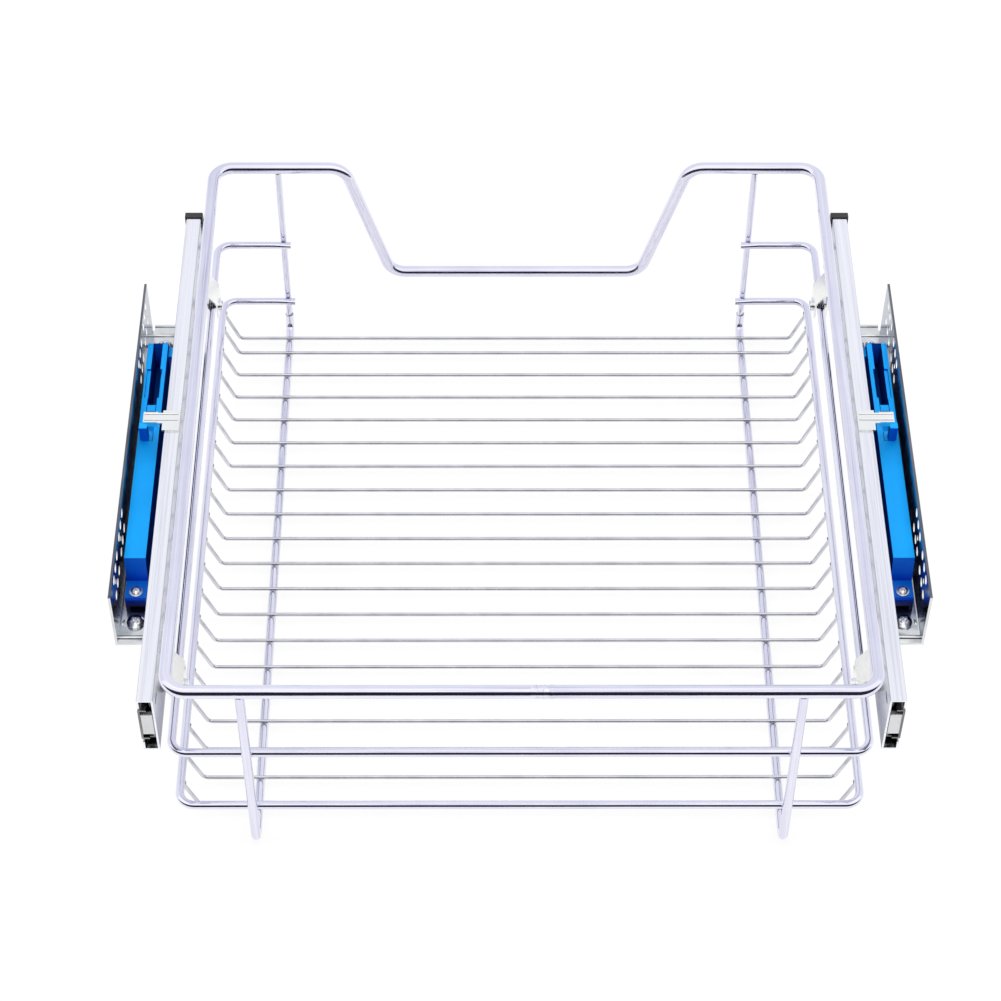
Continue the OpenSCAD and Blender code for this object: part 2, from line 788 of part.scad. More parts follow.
module rear_stop(side) {
    color([0.8, 0.81, 0.82])
        on_side(side)
            along_y(cabinet_y0, cabinet_y0 + stop_t)
                slide_profile()
                    translate([outer_cage_u, -stop_h / 2])
                        square([slide_w - slide_t - outer_cage_u, stop_h]);
}

module slide_feet(side) {
    foot_z1 = slide_z + foot_top_v;
    color([0.76, 0.77, 0.78])
        on_side(side)
            for (y = foot_ys)
                difference() {
                    union() {
                        block([foot_x - foot_t, y - foot_w / 2, bracket_z - foot_t],
                            [foot_x, y + foot_w / 2, foot_z1]);
                        block([plate_x + foot_end_gap, y - foot_w / 2, bracket_z - foot_t],
                            [foot_x, y + foot_w / 2, bracket_z]);
                    }
                    translate([foot_screw_x, y, bracket_z - foot_t - 1])
                        cylinder(h = foot_t + 2, d = foot_screw_d + shank_gap, $fn = small_fn);
                    bar_x(foot_x - foot_t / 2, y, slide_z, 2.2 * foot_t, foot_rivet_d + shank_gap);
                }
}

module foot_rivets() {
    grip = slide_t + foot_t;
    color([0.8, 0.8, 0.82])
        for (side = [-1, 1], y = foot_ys)
            on_side(side) {
                bar_x(foot_x + slide_t - grip / 2, y, slide_z, grip, foot_rivet_d);
                bar_x(foot_x - foot_t - foot_rivet_head / 2, y, slide_z, foot_rivet_head,
                    1.6 * foot_rivet_d);
            }
}

// ---- Cabinet brackets ----

module bracket(side) {
    bead_d = 3;
    bead_inset = 4.4;
    bead_sink = 0.5;
    bead_skin = 0.8;
    hole_y0 = bracket_y0 + plate_hole_inset;
    hole_z = bracket_top_z - plate_row_drop;
    plate_mid_x = plate_x + bracket_t / 2;
    slot_w = foot_screw_d + slot_play;
    slot_half = (foot_slot_l - foot_screw_d) / 2;
    // The tongue stands clear of the plate and ends in a rolled hem
    tongue_gap = 1;
    hem_d = 2.4;
    hem_rise = 1.35;
    tongue_x = plate_x + bracket_t + tongue_gap;
    hem_y = bracket_y1 + bracket_tongue_l - hem_d / 2;
    color([0.66, 0.68, 0.68])
        on_side(side)
            difference() {
                union() {
                    block([plate_x, bracket_y0, bracket_z], [plate_x + bracket_t, bracket_y1,
                        bracket_top_z]);
                    block([plate_x, bracket_y0, bracket_z], [flange_x, bracket_y1, flange_top_z]);
                    block([tongue_x, bracket_y1 - eps, bracket_z], [flange_x, hem_y, flange_top_z]);
                    bar_x((tongue_x + flange_x) / 2, hem_y, bracket_z + hem_rise,
                        flange_x - tongue_x, hem_d);
                    for (y = [bracket_y0 + bead_inset, bracket_y1 - bead_inset])
                        difference() {
                            bar_x((plate_x + bracket_t + flange_x) / 2, y, flange_top_z - bead_sink,
                                flange_x - plate_x - bracket_t, bead_d);
                            block([plate_x - 1, y - bead_d, flange_top_z - bead_d],
                                [flange_x + 1, y + bead_d, flange_top_z - bead_skin]);
                        }
                }
                for (group = [0, 1], col = hole_cols, row = [0, 1])
                    bar_x(plate_mid_x, hole_y0 + group * plate_group_pitch + col,
                        hole_z - row * plate_row_pitch, 2 * bracket_t, plate_hole_d);
                for (group = [0, 1], set = [0, 1])
                    bar_x(plate_mid_x, hole_y0 + group * plate_group_pitch
                        + set * plate_set_pitch + plate_col_pitch / 2,
                        hole_z - plate_row_pitch / 2, 2 * bracket_t, pilot_hole_d);
                for (y = foot_ys) {
                    for (s = [-1, 1])
                        translate([foot_screw_x + s * slot_half, y, bracket_z - 1])
                            cylinder(h = bracket_t + 2, d = slot_w, $fn = small_fn);
                    block([foot_screw_x - slot_half, y - slot_w / 2, bracket_z - 1],
                        [foot_screw_x + slot_half, y + slot_w / 2, bracket_z + bracket_t + 1]);
                }
                translate([damper_xm, damper_screw_y, bracket_z - 1])
                    cylinder(h = bracket_t + 2, d = damper_screw_d + shank_gap, $fn = small_fn);
            }
}

// A pan-head screw with a cross recess, pointing down, its head's seat at z
module pan_screw(head_d, head_h, shank_d, shank_l) {
    recess = head_d * 0.5;
    recess_w = head_d * 0.14;
    difference() {
        union() {
            intersection() {
                cylinder(h = head_h, d = head_d, $fn = round_fn);
                translate([0, 0, head_h - head_d * 0.75])
                    sphere(d = head_d * 1.5, $fn = round_fn);
            }
            translate([0, 0, -shank_l])
                cylinder(h = shank_l + eps, d = shank_d, $fn = small_fn);
        }
        for (turn = [45, 135])
            rotate(turn)
                translate([-recess / 2, -recess_w / 2, head_h * 0.5])
                    cube([recess, recess_w, head_h]);
    }
}

module bracket_screws() {
    color([0.85, 0.85, 0.86])
        for (side = [-1, 1], y = foot_ys)
            on_side(side)
                translate([foot_screw_x, y, flange_top_z])
                    pan_screw(foot_head_d, screw_head_h, foot_screw_d,
                        bracket_t + foot_t + nut_t);
}

module bracket_nuts() {
    z1 = bracket_z - foot_t;
    color([0.75, 0.75, 0.78])
        for (side = [-1, 1], y = foot_ys)
            on_side(side)
                translate([foot_screw_x, y, z1 - nut_t])
                    difference() {
                        cylinder(h = nut_t, d = nut_af / cos(30), $fn = 6);
                        translate([0, 0, -1])
                            cylinder(h = nut_t + 2, d = foot_screw_d + shank_gap, $fn = small_fn);
                    }
}

// ---- Soft-close dampers ----

module damper_housing(side) {
    track_x0 = damper_xm - track_w / 2;
    track_x1 = damper_xm + track_w / 2;
    shelf_d = 1.5;
    shelf_rim = 1.2;
    groove_w = 1.2;
    groove_d = 5;
    lug_rise = 11;
    lug_h = 12;
    lug_w = 3.8;
    lug_end = 1;
    lug_l = 8;
    nose = 3;
    chamfer = 1.5;
    foot_chamfer = 1;
    pocket_l = 3;
    pocket_h = 3;
    pocket_wall = 2;
    foot_top_z = flange_top_z + damper_foot_h;
    color([0.05, 0.42, 0.92])
        on_side(side)
            difference() {
                union() {
                    translate([damper_x0, 0, 0])
                        rotate([90, 0, 90])
                            linear_extrude(height = damper_w)
                                polygon([[damper_rear_y, flange_top_z],
                                    [damper_y1, flange_top_z],
                                    [damper_y1, damper_top_z - chamfer],
                                    [damper_y1 - chamfer, damper_top_z],
                                    [damper_y0 + nose, damper_top_z],
                                    [damper_y0, foot_top_z],
                                    [damper_rear_y + foot_chamfer, foot_top_z],
                                    [damper_rear_y, foot_top_z - foot_chamfer]]);
                    block([damper_x1 - eps, damper_y1 - lug_end - lug_l, flange_top_z + lug_rise],
                        [damper_x1 + lug_w, damper_y1 - lug_end, flange_top_z + lug_rise + lug_h]);
                }
                block([track_x0, track_y0, track_floor_z],
                    [track_x1, track_y1, damper_top_z + 1]);
                block([damper_x0 + shelf_rim, shelf_y0, damper_top_z - shelf_d],
                    [track_x0 + eps, shelf_y1, damper_top_z + 1]);
                block([track_x1 - eps, shelf_y0, damper_top_z - groove_d],
                    [track_x1 + groove_w, shelf_y1, damper_top_z + 1]);
                block([damper_x0 + pocket_wall, damper_rear_y - 1, flange_top_z - 1],
                    [damper_x1 + 1, damper_rear_y + pocket_l, flange_top_z + pocket_h]);
                translate([damper_xm, track_y0 + 1, cylinder_z])
                    rotate([90, 0, 0])
                        cylinder(h = track_y0 + 1 - cylinder_y0, d = cylinder_d + 2 * shank_gap,
                            $fn = round_fn);
                translate([damper_xm, track_y0 + 1, spring_z])
                    rotate([90, 0, 0])
                        cylinder(h = track_y0 + 1 - cylinder_y0, d = spring_d + 2 * slot_play,
                            $fn = small_fn);
                translate([damper_xm, damper_screw_y, flange_top_z - 1])
                    cylinder(h = damper_foot_h + 2, d = damper_screw_d + shank_gap,
                        $fn = small_fn);
            }
}

module catch(side) {
    x0 = damper_xm - track_w / 2 + catch_gap;
    x1 = damper_xm + track_w / 2 - catch_gap;
    block_overhang = 1.8;
    block_x1 = damper_xm + 0.5;
    block_l = 4.7;
    hollow_gap = 3;
    hollow_d = 9;
    front_wall = 5;
    color([0.04, 0.36, 0.85])
        on_side(side)
            difference() {
                union() {
                    block([x0, catch_y0, track_floor_z + catch_gap],
                        [x1, catch_y0 + catch_l, damper_top_z]);
                    block([x0, catch_y0, damper_top_z - eps],
                        [block_x1, catch_y0 + block_l, damper_top_z + catch_block_h]);
                    block([x0 - block_overhang, catch_y0, damper_top_z + catch_gap],
                        [x0 + eps, catch_y0 + block_l, damper_top_z + catch_block_h]);
                }
                block([x0 - 1, catch_y0 + block_l + hollow_gap, damper_top_z - hollow_d],
                    [x1 + 1, catch_y0 + catch_l - front_wall, damper_top_z + 1]);
                translate([damper_xm, catch_y0 + piston_rod_seat, cylinder_z])
                    rotate([90, 0, 0])
                        cylinder(h = piston_rod_seat + 1, d = piston_rod_d + shank_gap,
                            $fn = small_fn);
            }
}

module damper_cylinder(side) {
    wall = 2.5;
    color([0.2, 0.21, 0.23])
        on_side(side)
            translate([damper_xm, cylinder_y1, cylinder_z])
                rotate([90, 0, 0])
                    difference() {
                        cylinder(h = cylinder_y1 - cylinder_y0, d = cylinder_d, $fn = round_fn);
                        translate([0, 0, wall])
                            cylinder(h = cylinder_y1 - cylinder_y0 - 2 * wall, d = cylinder_bore,
                                $fn = round_fn);
                        translate([0, 0, -1])
                            cylinder(h = wall + 2, d = piston_rod_d + shank_gap, $fn = small_fn);
                    }
}

module damper_piston(side) {
    head_l = 6;
    rod_end = catch_y0 + piston_rod_seat;
    color([0.7, 0.7, 0.72])
        on_side(side)
            translate([damper_xm, 0, cylinder_z])
                rotate([-90, 0, 0]) {
                    translate([0, 0, piston_y0])
                        cylinder(h = rod_end - piston_y0, d = piston_rod_d, $fn = small_fn);
                    translate([0, 0, piston_y0])
                        cylinder(h = head_l, d = cylinder_bore - shank_gap, $fn = round_fn);
                }
}

module closing_spring(side) {
    spring_l = catch_y0 - catch_gap - cylinder_y0;
    spring_wire_d = 0.7;
    color([0.6, 0.6, 0.62])
        on_side(side)
            translate([damper_xm, catch_y0 - catch_gap, spring_z])
                rotate([90, 0, 0])
                    difference() {
                        cylinder(h = spring_l, d = spring_d, $fn = small_fn);
                        translate([0, 0, -1])
                            cylinder(h = spring_l + 2, d = spring_d - 2 * spring_wire_d,
                                $fn = small_fn);
                    }
}

module damper_screws() {
    color([0.85, 0.85, 0.86])
        for (side = [-1, 1])
            on_side(side)
                translate([damper_xm, damper_screw_y, flange_top_z + damper_foot_h + washer_t])
                    pan_screw(damper_screw_head[0], damper_screw_head[1], damper_screw_d,
                        damper_foot_h + washer_t + bracket_t);
}

module damper_washers() {
    color([0.8, 0.8, 0.82])
        for (side = [-1, 1])
            on_side(side)
                translate([damper_xm, damper_screw_y, flange_top_z + damper_foot_h])
                    difference() {
                        cylinder(h = washer_t, d = washer_d, $fn = round_fn);
                        translate([0, 0, -1])
                            cylinder(h = washer_t + 2, d = damper_screw_d + shank_gap,
                                $fn = small_fn);
                    }
}

top_frame();
open_ring(middle_z);  // middle_ring
open_ring(bottom_z);  // bottom_ring
floor_wires();
floor_runner(-1);  // left_floor_runner
floor_runner(1);  // right_floor_runner
front_upright(-1);  // left_front_upright
front_upright(1);  // right_front_upright
on_side(-1) clip(rear_y + rear_clip_y);  // left_rear_clip
on_side(-1) clip(rear_y + front_clip_y);  // left_front_clip
on_side(1) clip(rear_y + rear_clip_y);  // right_rear_clip
on_side(1) clip(rear_y + front_clip_y);  // right_front_clip
clip_rivets();
clip_screws();
clip_nuts();
drawer_member(-1);  // left_drawer_member
drawer_member(1);  // right_drawer_member
end_cap(-1);  // left_end_cap
end_cap(1);  // right_end_cap
closing_tab(-1);  // left_closing_tab
closing_tab(1);  // right_closing_tab
outer_ball_cage(-1);  // left_outer_ball_cage
outer_ball_cage(1);  // right_outer_ball_cage
outer_balls(-1);  // left_outer_balls
outer_balls(1);  // right_outer_balls
intermediate_member(-1);  // left_intermediate_member
intermediate_member(1);  // right_intermediate_member
inner_ball_cage(-1);  // left_inner_ball_cage
inner_ball_cage(1);  // right_inner_ball_cage
inner_balls(-1);  // left_inner_balls
inner_balls(1);  // right_inner_balls
cabinet_member(-1);  // left_cabinet_member
cabinet_member(1);  // right_cabinet_member
rear_stop(-1);  // left_rear_stop
rear_stop(1);  // right_rear_stop
slide_feet(-1);  // left_slide_feet
slide_feet(1);  // right_slide_feet
foot_rivets();
bracket(-1);  // left_bracket
bracket(1);  // right_bracket
bracket_screws();
bracket_nuts();
damper_housing(-1);  // left_damper_housing
damper_housing(1);  // right_damper_housing
catch(-1);  // left_catch
catch(1);  // right_catch
damper_cylinder(-1);  // left_damper_cylinder
damper_cylinder(1);  // right_damper_cylinder
damper_piston(-1);  // left_damper_piston
damper_piston(1);  // right_damper_piston
closing_spring(-1);  // left_closing_spring
closing_spring(1);  // right_closing_spring
damper_screws();
damper_washers();
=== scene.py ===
"""Looks of the pull-out wire basket: chrome wires with their welds, zinc-plated telescopic slides,
nickel clips and tabs, pressed steel brackets and blue soft-close dampers, on a white studio floor.
Metres throughout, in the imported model's frame. The basket pulls out along +Y."""
import json
import math
from collections import namedtuple

import bmesh
import bpy
from mathutils import Matrix, Vector, noise


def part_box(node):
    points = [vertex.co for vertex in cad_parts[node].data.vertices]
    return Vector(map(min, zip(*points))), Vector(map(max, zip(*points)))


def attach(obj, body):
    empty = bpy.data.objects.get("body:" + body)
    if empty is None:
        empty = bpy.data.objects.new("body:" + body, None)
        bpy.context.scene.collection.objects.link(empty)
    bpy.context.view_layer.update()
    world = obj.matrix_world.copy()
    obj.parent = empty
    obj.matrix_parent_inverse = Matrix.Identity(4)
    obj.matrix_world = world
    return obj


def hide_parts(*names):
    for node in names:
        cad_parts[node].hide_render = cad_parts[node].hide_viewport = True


MM = 0.001

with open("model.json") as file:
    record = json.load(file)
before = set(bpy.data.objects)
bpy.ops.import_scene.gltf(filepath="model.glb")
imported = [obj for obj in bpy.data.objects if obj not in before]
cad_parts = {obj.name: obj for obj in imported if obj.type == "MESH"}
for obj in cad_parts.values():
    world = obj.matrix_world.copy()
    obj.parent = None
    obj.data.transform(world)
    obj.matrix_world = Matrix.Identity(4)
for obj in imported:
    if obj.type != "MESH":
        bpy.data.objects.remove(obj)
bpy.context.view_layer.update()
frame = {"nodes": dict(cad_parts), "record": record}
NODES = frame["nodes"]
BODY_OF = {n: b for b, ns in frame["record"]["behaviour"]["bodies"].items() for n in ns}
SLOT_OF = {s["node"]: s["material_slot"] for s in frame["record"]["subparts"]}

# ---------------------------------------------------------------- wires
FRAME_D = 7.5 * MM
FRAME_BEND_R = 12 * MM
DIP_TOP_HALF = 110.7 * MM
DIP_BOTTOM_HALF = 82.9 * MM
DIP_BEND_R = 13 * MM
RING_BEND_R = 9 * MM
# Half of the opening in the rings' front
RING_OPEN_HALF = 148 * MM
RUNNER_BEND_R = 8 * MM
# Height of a runner's front rise over its lowest point, and how far its end reaches into the upright's weld
RUNNER_RISE = 18 * MM
RUNNER_END_REACH = 0.5 * MM
FLOOR_WIRE_D = 2.4 * MM
FLOOR_HALF = 186 * MM
FLOOR_BEND_R = 4 * MM
WELD_SINK = 0.2 * MM
# Wire ends are pressed wider and flatter where they are welded, over a length counted in rings of the mesh
PRESS_WIDER = 0.10
PRESS_FLATTER = 0.22
RING_TIP = 3.0
RUNNER_TIP = 2.0
UPRIGHT_TIP = 3.0
# Sides of the rods' meshes
FRAME_SIDES = 28
RING_SIDES = 22
UPRIGHT_SIDES = 20
FLOOR_SIDES = 14
# Steps along the rods between their rings, and degrees between the rings of a bend
FRAME_STEP = 12 * MM
RING_STEP = 4 * MM
RUNNER_STEP = 5 * MM
UPRIGHT_STEP = 3 * MM
BEND_STEP = 6.0
FLOOR_BEND_STEP = 9.0
# The ground butt weld of the top frame: its place, and the places and swell of its rings
SEAM_X = 16 * MM
SEAM_RINGS = [(-1.6, 0.98), (-1.1, 1.015), (-0.5, 1.045), (0, 1.035), (0.5, 1.05), (1.1, 1.02), (1.6, 0.98)]
SEAM_ROUGH = Vector((0.25, 0.1, 0.1)) * MM
SEAM_GRAIN = 900
# Half sizes of the weld beads, along X, Y and Z
FLOOR_END_BEAD = (1.7 * MM, 1.7 * MM, 1.7 * MM)
RUNNER_TOP_BEAD = (3.0 * MM, 2.4 * MM, 0.9 * MM)
RUNNER_RING_BEAD = (2.0 * MM, 0.7 * MM, 2.2 * MM)
RUNNER_FLOOR_BEAD = (1.5 * MM, 1.3 * MM, 0.5 * MM)
UPRIGHT_TOP_BEAD = (2.6 * MM, 2.2 * MM, 0.8 * MM)
UPRIGHT_FOOT_BEAD = (2.7 * MM, 2.7 * MM, 1.1 * MM)
UPRIGHT_RING_BEAD = (1.9 * MM, 0.7 * MM, 2.0 * MM)
# How uneven a bead is, how fine its lumps are, and how far its seed moves them
BEAD_ROUGH = 0.18
BEAD_GRAIN = 1.7
BEAD_SHIFT = 0.37
# Place of a floor wire's bead, inward and up from the wire's end
FLOOR_BEAD_IN = 0.5 * MM
FLOOR_BEAD_UP = 0.8 * MM
# Name of the mesh attribute that holds a swept rod's place along and round it
ROD_PLACE = "rod_place"
CHROME = "chrome_wire"
BASKET = "basket"
Ring = namedtuple("Ring", "half_w rear front z d")

# ---------------------------------------------------------------- sheet and moulded pieces
SHEET_BEVEL = 0.25 * MM
PLATE_BEVEL = 0.12 * MM
MOULDED_BEVEL = 0.45 * MM
FASTENER_BEVEL = 0.15 * MM
# A bracket's plate, the strip along its edges without holes, and the depth of its cut top edge
PLATE_T = 1.5 * MM
PLATE_EDGE = 2 * MM
PLATE_RIM = 0.3 * MM
# A direction with this much of an axis runs along it
SQUARE = 0.9
# Vertices this close are one. Degrees at which faces count as one flat face, and from which an edge is sharp
MERGE = 1e-6
FLAT_ANGLE = 0.5
SHARP_ANGLE = 35.0
BEAD_SHARP_ANGLE = 60.0

# ---------------------------------------------------------------- tones
CHROME_DARK = (0.76, 0.76, 0.88)
CHROME_LIGHT = (0.84, 0.84, 0.95)
WHITE = (1.0, 1.0, 1.0)
# Tones from dark to light across the drawn rods and the rolled slides; painted shade down the slides' webs,
# darker towards the bottom; and painted shade on the blue dampers, deeper blue lower down
CHROME_STREAKS = [(0.30, (0.66, 0.66, 0.72)), (0.42, (0.90, 0.90, 0.93)), (0.58, WHITE),
                  (0.72, (1.12, 1.12, 1.06))]
SLIDE_STREAKS = [(0.28, (0.70, 0.71, 0.76)), (0.45, (0.88, 0.89, 0.95)), (0.70, (0.99, 0.99, 1.0))]
WEB_SHADE_LEVELS = [(0.15, (0.10, 0.10, 0.12)), (0.40, (0.36, 0.37, 0.40)), (0.75, (0.52, 0.53, 0.57))]
BLUE_SHADE_LEVELS = [(0.10, (0.0, 0.008, 0.06)), (0.24, (0.0, 0.07, 0.42)), (0.38, (0.0005, 0.17, 0.80)),
               (0.60, (0.001, 0.32, 1.0)), (0.95, (0.003, 0.40, 1.0))]
# Where a face changes from one tone to the other as it turns towards an axis
TURN = (0.3, 0.8)
# The middle part of a noise's values, over which tones and gloss change
SPREAD = (0.3, 0.7)

# ---------------------------------------------------------------- studio
# The studio that polished metal sees. Its bands are degrees from the horizon behind the camera, over
# the top, to the horizon beyond the basket
DARK = (0.02, 0.016, 0.03)
PALE = (0.76, 0.77, 0.81)
DOME_BANDS = [(0, DARK), (42, DARK), (50, WHITE), (100, WHITE), (108, PALE), (180, PALE)]
DOME_LEVEL = 1.2
DOME_RADIUS = 2.8
DOME_FOOT = -0.05
DOME_SEGMENTS = (48, 32)
DARK_FLOOR_START = 0.80
DARK_FLOOR_RISE = 1 * MM
STAGE_HALF = 6.0
FLOOR_COLOUR = (0.9, 0.9, 0.91, 1)
# Share of plain white in the floor as it is seen directly. The rest keeps the shadow
FLOOR_WHITE_SHARE = 0.86
# Strength of the world's light on the object, and of its white where it is seen
WORLD_LIGHT = 0.62
WORLD_SEEN = 1.0
# Name, place, aim, size and watts of each lamp
LAMPS = [("softbox_top", (0.0, 0.25, 2.3), (0, 0, 0), (2.6, 2.2), 42.0),
         ("softbox_left", (-2.0, -0.6, 1.5), (0, 0, 0.1), (1.2, 1.6), 18.0),
         ("softbox_right", (2.0, -0.6, 1.5), (0, 0, 0.1), (1.2, 1.6), 18.0)]

# Camera fitted to the photograph, in its 1001 x 1001 frame
FOCAL_PX = 2670.7
PHOTO_PX = 1001
SENSOR = 36.0
CAMERA_AT = Vector((-17.9, -1063.0, 1315.2)) * MM
CAMERA_PITCH = 0.8665
CAMERA_YAW = -0.0068
CAMERA_ROLL = -0.0048
CLIP_NEAR, CLIP_FAR = 0.05, 20.0


# ---------------------------------------------------------------- material tools
def set_stops(ramp, stops):
    """Gives a colour ramp its places and colours."""
    cells = ramp.color_ramp.elements
    while len(cells) < len(stops):
        cells.new(0.5)
    for cell, (place, colour) in zip(cells, stops):
        cell.position = place
        cell.color = (*colour, 1.0)


class Nodes:
    """A small helper that builds one procedural material."""

    def __init__(self, name, metallic=1.0):
        self.mat = bpy.data.materials.new(name)
        self.mat.use_nodes = True
        self.tree = self.mat.node_tree
        self.shader = self.tree.nodes["Principled BSDF"]
        self.shader.inputs["Metallic"].default_value = metallic

    def add(self, kind, **props):
        """A new node with these properties."""
        node = self.tree.nodes.new(kind)
        for key, value in props.items():
            setattr(node, key, value)
        return node

    def link(self, a, b):
        self.tree.links.new(a, b)

    def coords(self, scale=(1, 1, 1)):
        """Place on the object, in metres times scale."""
        tex = self.add("ShaderNodeTexCoord")
        mapping = self.add("ShaderNodeMapping")
        mapping.inputs["Scale"].default_value = scale
        self.link(tex.outputs["Object"], mapping.inputs["Vector"])
        return mapping.outputs["Vector"]

    def rod_coords(self, scale=(1, 1, 1)):
        """Place along a swept rod and round it."""
        place = self.add("ShaderNodeAttribute", attribute_name=ROD_PLACE)
        mapping = self.add("ShaderNodeMapping")
        mapping.inputs["Scale"].default_value = scale
        self.link(place.outputs["Vector"], mapping.inputs["Vector"])
        return mapping.outputs["Vector"]

    def noise(self, scale, detail, stretch=(1, 1, 1), rough=0.5, rod=False):
        """Soft noise. A stretch under 1 draws it out along that axis, or along the rod."""
        tex = self.add("ShaderNodeTexNoise")
        tex.inputs["Scale"].default_value = scale
        tex.inputs["Detail"].default_value = detail
        tex.inputs["Roughness"].default_value = rough
        coords = self.rod_coords(stretch) if rod else self.coords(stretch)
        self.link(coords, tex.inputs["Vector"])
        return tex.outputs["Fac"]

    def ramp(self, fac, stops):
        """Colours at places from 0 to 1, blended between them."""
        ramp = self.add("ShaderNodeValToRGB")
        set_stops(ramp, stops)
        self.link(fac, ramp.inputs["Fac"])
        return ramp.outputs["Color"]

    def tones(self, fac, dark, light):
        """A colour that goes from dark to light over the middle of a noise's values."""
        return self.ramp(fac, [(SPREAD[0], dark), (SPREAD[1], light)])

    def span(self, fac, low, high, at=SPREAD):
        """A value that goes from low to high while fac goes over the span at."""
        ranged = self.add("ShaderNodeMapRange")
        ranged.inputs["From Min"].default_value = at[0]
        ranged.inputs["From Max"].default_value = at[1]
        ranged.inputs["To Min"].default_value = low
        ranged.inputs["To Max"].default_value = high
        self.link(fac, ranged.inputs["Value"])
        return ranged.outputs["Result"]

    def bump(self, height, distance, under=None):
        """Relief of this height in metres, on top of the relief under."""
        bump = self.add("ShaderNodeBump")
        bump.inputs["Distance"].default_value = distance
        bump.inputs["Strength"].default_value = 1.0
        self.link(height, bump.inputs["Height"])
        if under is not None:
            self.link(under, bump.inputs["Normal"])
        return bump.outputs["Normal"]

    def multiply(self, a, b):
        """Two colours multiplied."""
        mix = self.add("ShaderNodeMix", data_type="RGBA", blend_type="MULTIPLY")
        mix.inputs["Factor"].default_value = 1.0
        self.link(a, mix.inputs["A"])
        self.link(b, mix.inputs["B"])
        return mix.outputs["Result"]

    def mix(self, factor, a, b):
        """Colour a at factor 0 and b at factor 1."""
        mix = self.add("ShaderNodeMix", data_type="RGBA")
        self.link(factor, mix.inputs["Factor"])
        self.link(a, mix.inputs["A"])
        self.link(b, mix.inputs["B"])
        return mix.outputs["Result"]

    def facing(self, axis):
        """How far a face looks along an axis, from 0 for square to it to 1 for straight along it."""
        place = self.add("ShaderNodeNewGeometry")
        split = self.add("ShaderNodeSeparateXYZ")
        self.link(place.outputs["Normal"], split.inputs[0])
        size = self.add("ShaderNodeMath", operation="ABSOLUTE")
        self.link(split.outputs[axis], size.inputs[0])
        return size.outputs[0]

    def height(self, low, high):
        """Height on the object, as 0 at low and 1 at high."""
        split = self.add("ShaderNodeSeparateXYZ")
        self.link(self.coords(), split.inputs[0])
        return self.span(split.outputs["Z"], 0.0, 1.0, (low, high))

    def colour(self, socket):
        self.link(socket, self.shader.inputs["Base Color"])

    def rough(self, socket):
        self.link(socket, self.shader.inputs["Roughness"])

    def normal(self, socket):
        self.link(socket, self.shader.inputs["Normal"])


def metal(name, dark, light, rough, grain):
    """A metal whose tone drifts in soft clouds, with a fine grain in its gloss."""
    m = Nodes(name)
    clouds = m.noise(25.0, 4.0)
    fine = m.noise(grain, 5.0, rough=0.6)
    m.colour(m.tones(clouds, dark, light))
    m.rough(m.span(fine, *rough))
    m.normal(m.bump(fine, 0.01 * MM))
    return m.mat


def chrome_rod():
    """Bright chrome over drawn wire: faint lengthwise draw lines, soft cloudy patches, a lavender cast."""
    m = Nodes("chrome_rod")
    lines = m.noise(900.0, 3.0, (0.02, 1, 1), 0.6, rod=True)
    streaks = m.noise(420.0, 3.0, (0.012, 1, 1), 0.7, rod=True)
    waves = m.noise(60.0, 3.0, (0.6, 1, 1), 0.5, rod=True)
    patches = m.noise(25.0, 4.0, (1, 1, 1), 0.6, rod=True)
    tone = m.tones(patches, CHROME_DARK, CHROME_LIGHT)
    m.colour(m.multiply(tone, m.ramp(streaks, CHROME_STREAKS)))
    m.rough(m.span(lines, 0.05, 0.16))
    m.normal(m.bump(waves, 0.12 * MM, under=m.bump(lines, 0.006 * MM)))
    return m.mat


def thin_chrome():
    """Chrome on the thin floor wires: greyer than on the rods."""
    m = Nodes("thin_chrome")
    patches = m.noise(90.0, 4.0, (0.4, 1, 1), 0.6, rod=True)
    m.colour(m.tones(patches, (0.52, 0.52, 0.56), (0.76, 0.76, 0.80)))
    m.rough(m.span(patches, 0.08, 0.2))
    m.normal(m.bump(patches, 0.08 * MM))
    return m.mat


def slide_sheet():
    """Zinc plated strip, rolled lengthwise: bright on its flat top, with painted shade on its web that
    darkens towards the bottom.
    """
    m = Nodes("slide_sheet")
    streaks = m.noise(420.0, 4.0, (1, 0.01, 1), 0.7)
    fine = m.noise(900.0, 3.0, (1, 0.03, 1), 0.6)
    low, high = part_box("left_drawer_member")
    # Painted shade: the faces that look along X, down the web, darken towards the bottom
    web = m.ramp(m.height(low.z, high.z), WEB_SHADE_LEVELS)
    rolled = m.ramp(streaks, SLIDE_STREAKS)
    m.colour(m.mix(m.span(m.facing("X"), 0.0, 1.0, TURN), rolled, m.multiply(rolled, web)))
    m.rough(m.span(fine, 0.14, 0.26))
    m.normal(m.bump(fine, 0.01 * MM))
    return m.mat


def shaded_inner_steel():
    """Zinc plated strip inside the slides: plain on its broad faces, and darkened on its edges by painted
    shade.
    """
    m = Nodes("shaded_inner_steel")
    clouds = m.noise(25.0, 4.0, (1, 0.05, 1))
    fine = m.noise(500.0, 5.0, (1, 0.05, 1), 0.6)
    # Painted shade on the faces that don't look along X, the strip's edges inside the slide
    painted_shade = m.tones(clouds, (0.16, 0.16, 0.17), (0.30, 0.30, 0.31))
    plain = m.tones(clouds, (0.50, 0.51, 0.53), (0.66, 0.67, 0.69))
    m.colour(m.mix(m.span(m.facing("X"), 0.0, 1.0, TURN), painted_shade, plain))
    m.rough(m.span(fine, 0.2, 0.34))
    m.normal(m.bump(fine, 0.01 * MM))
    return m.mat


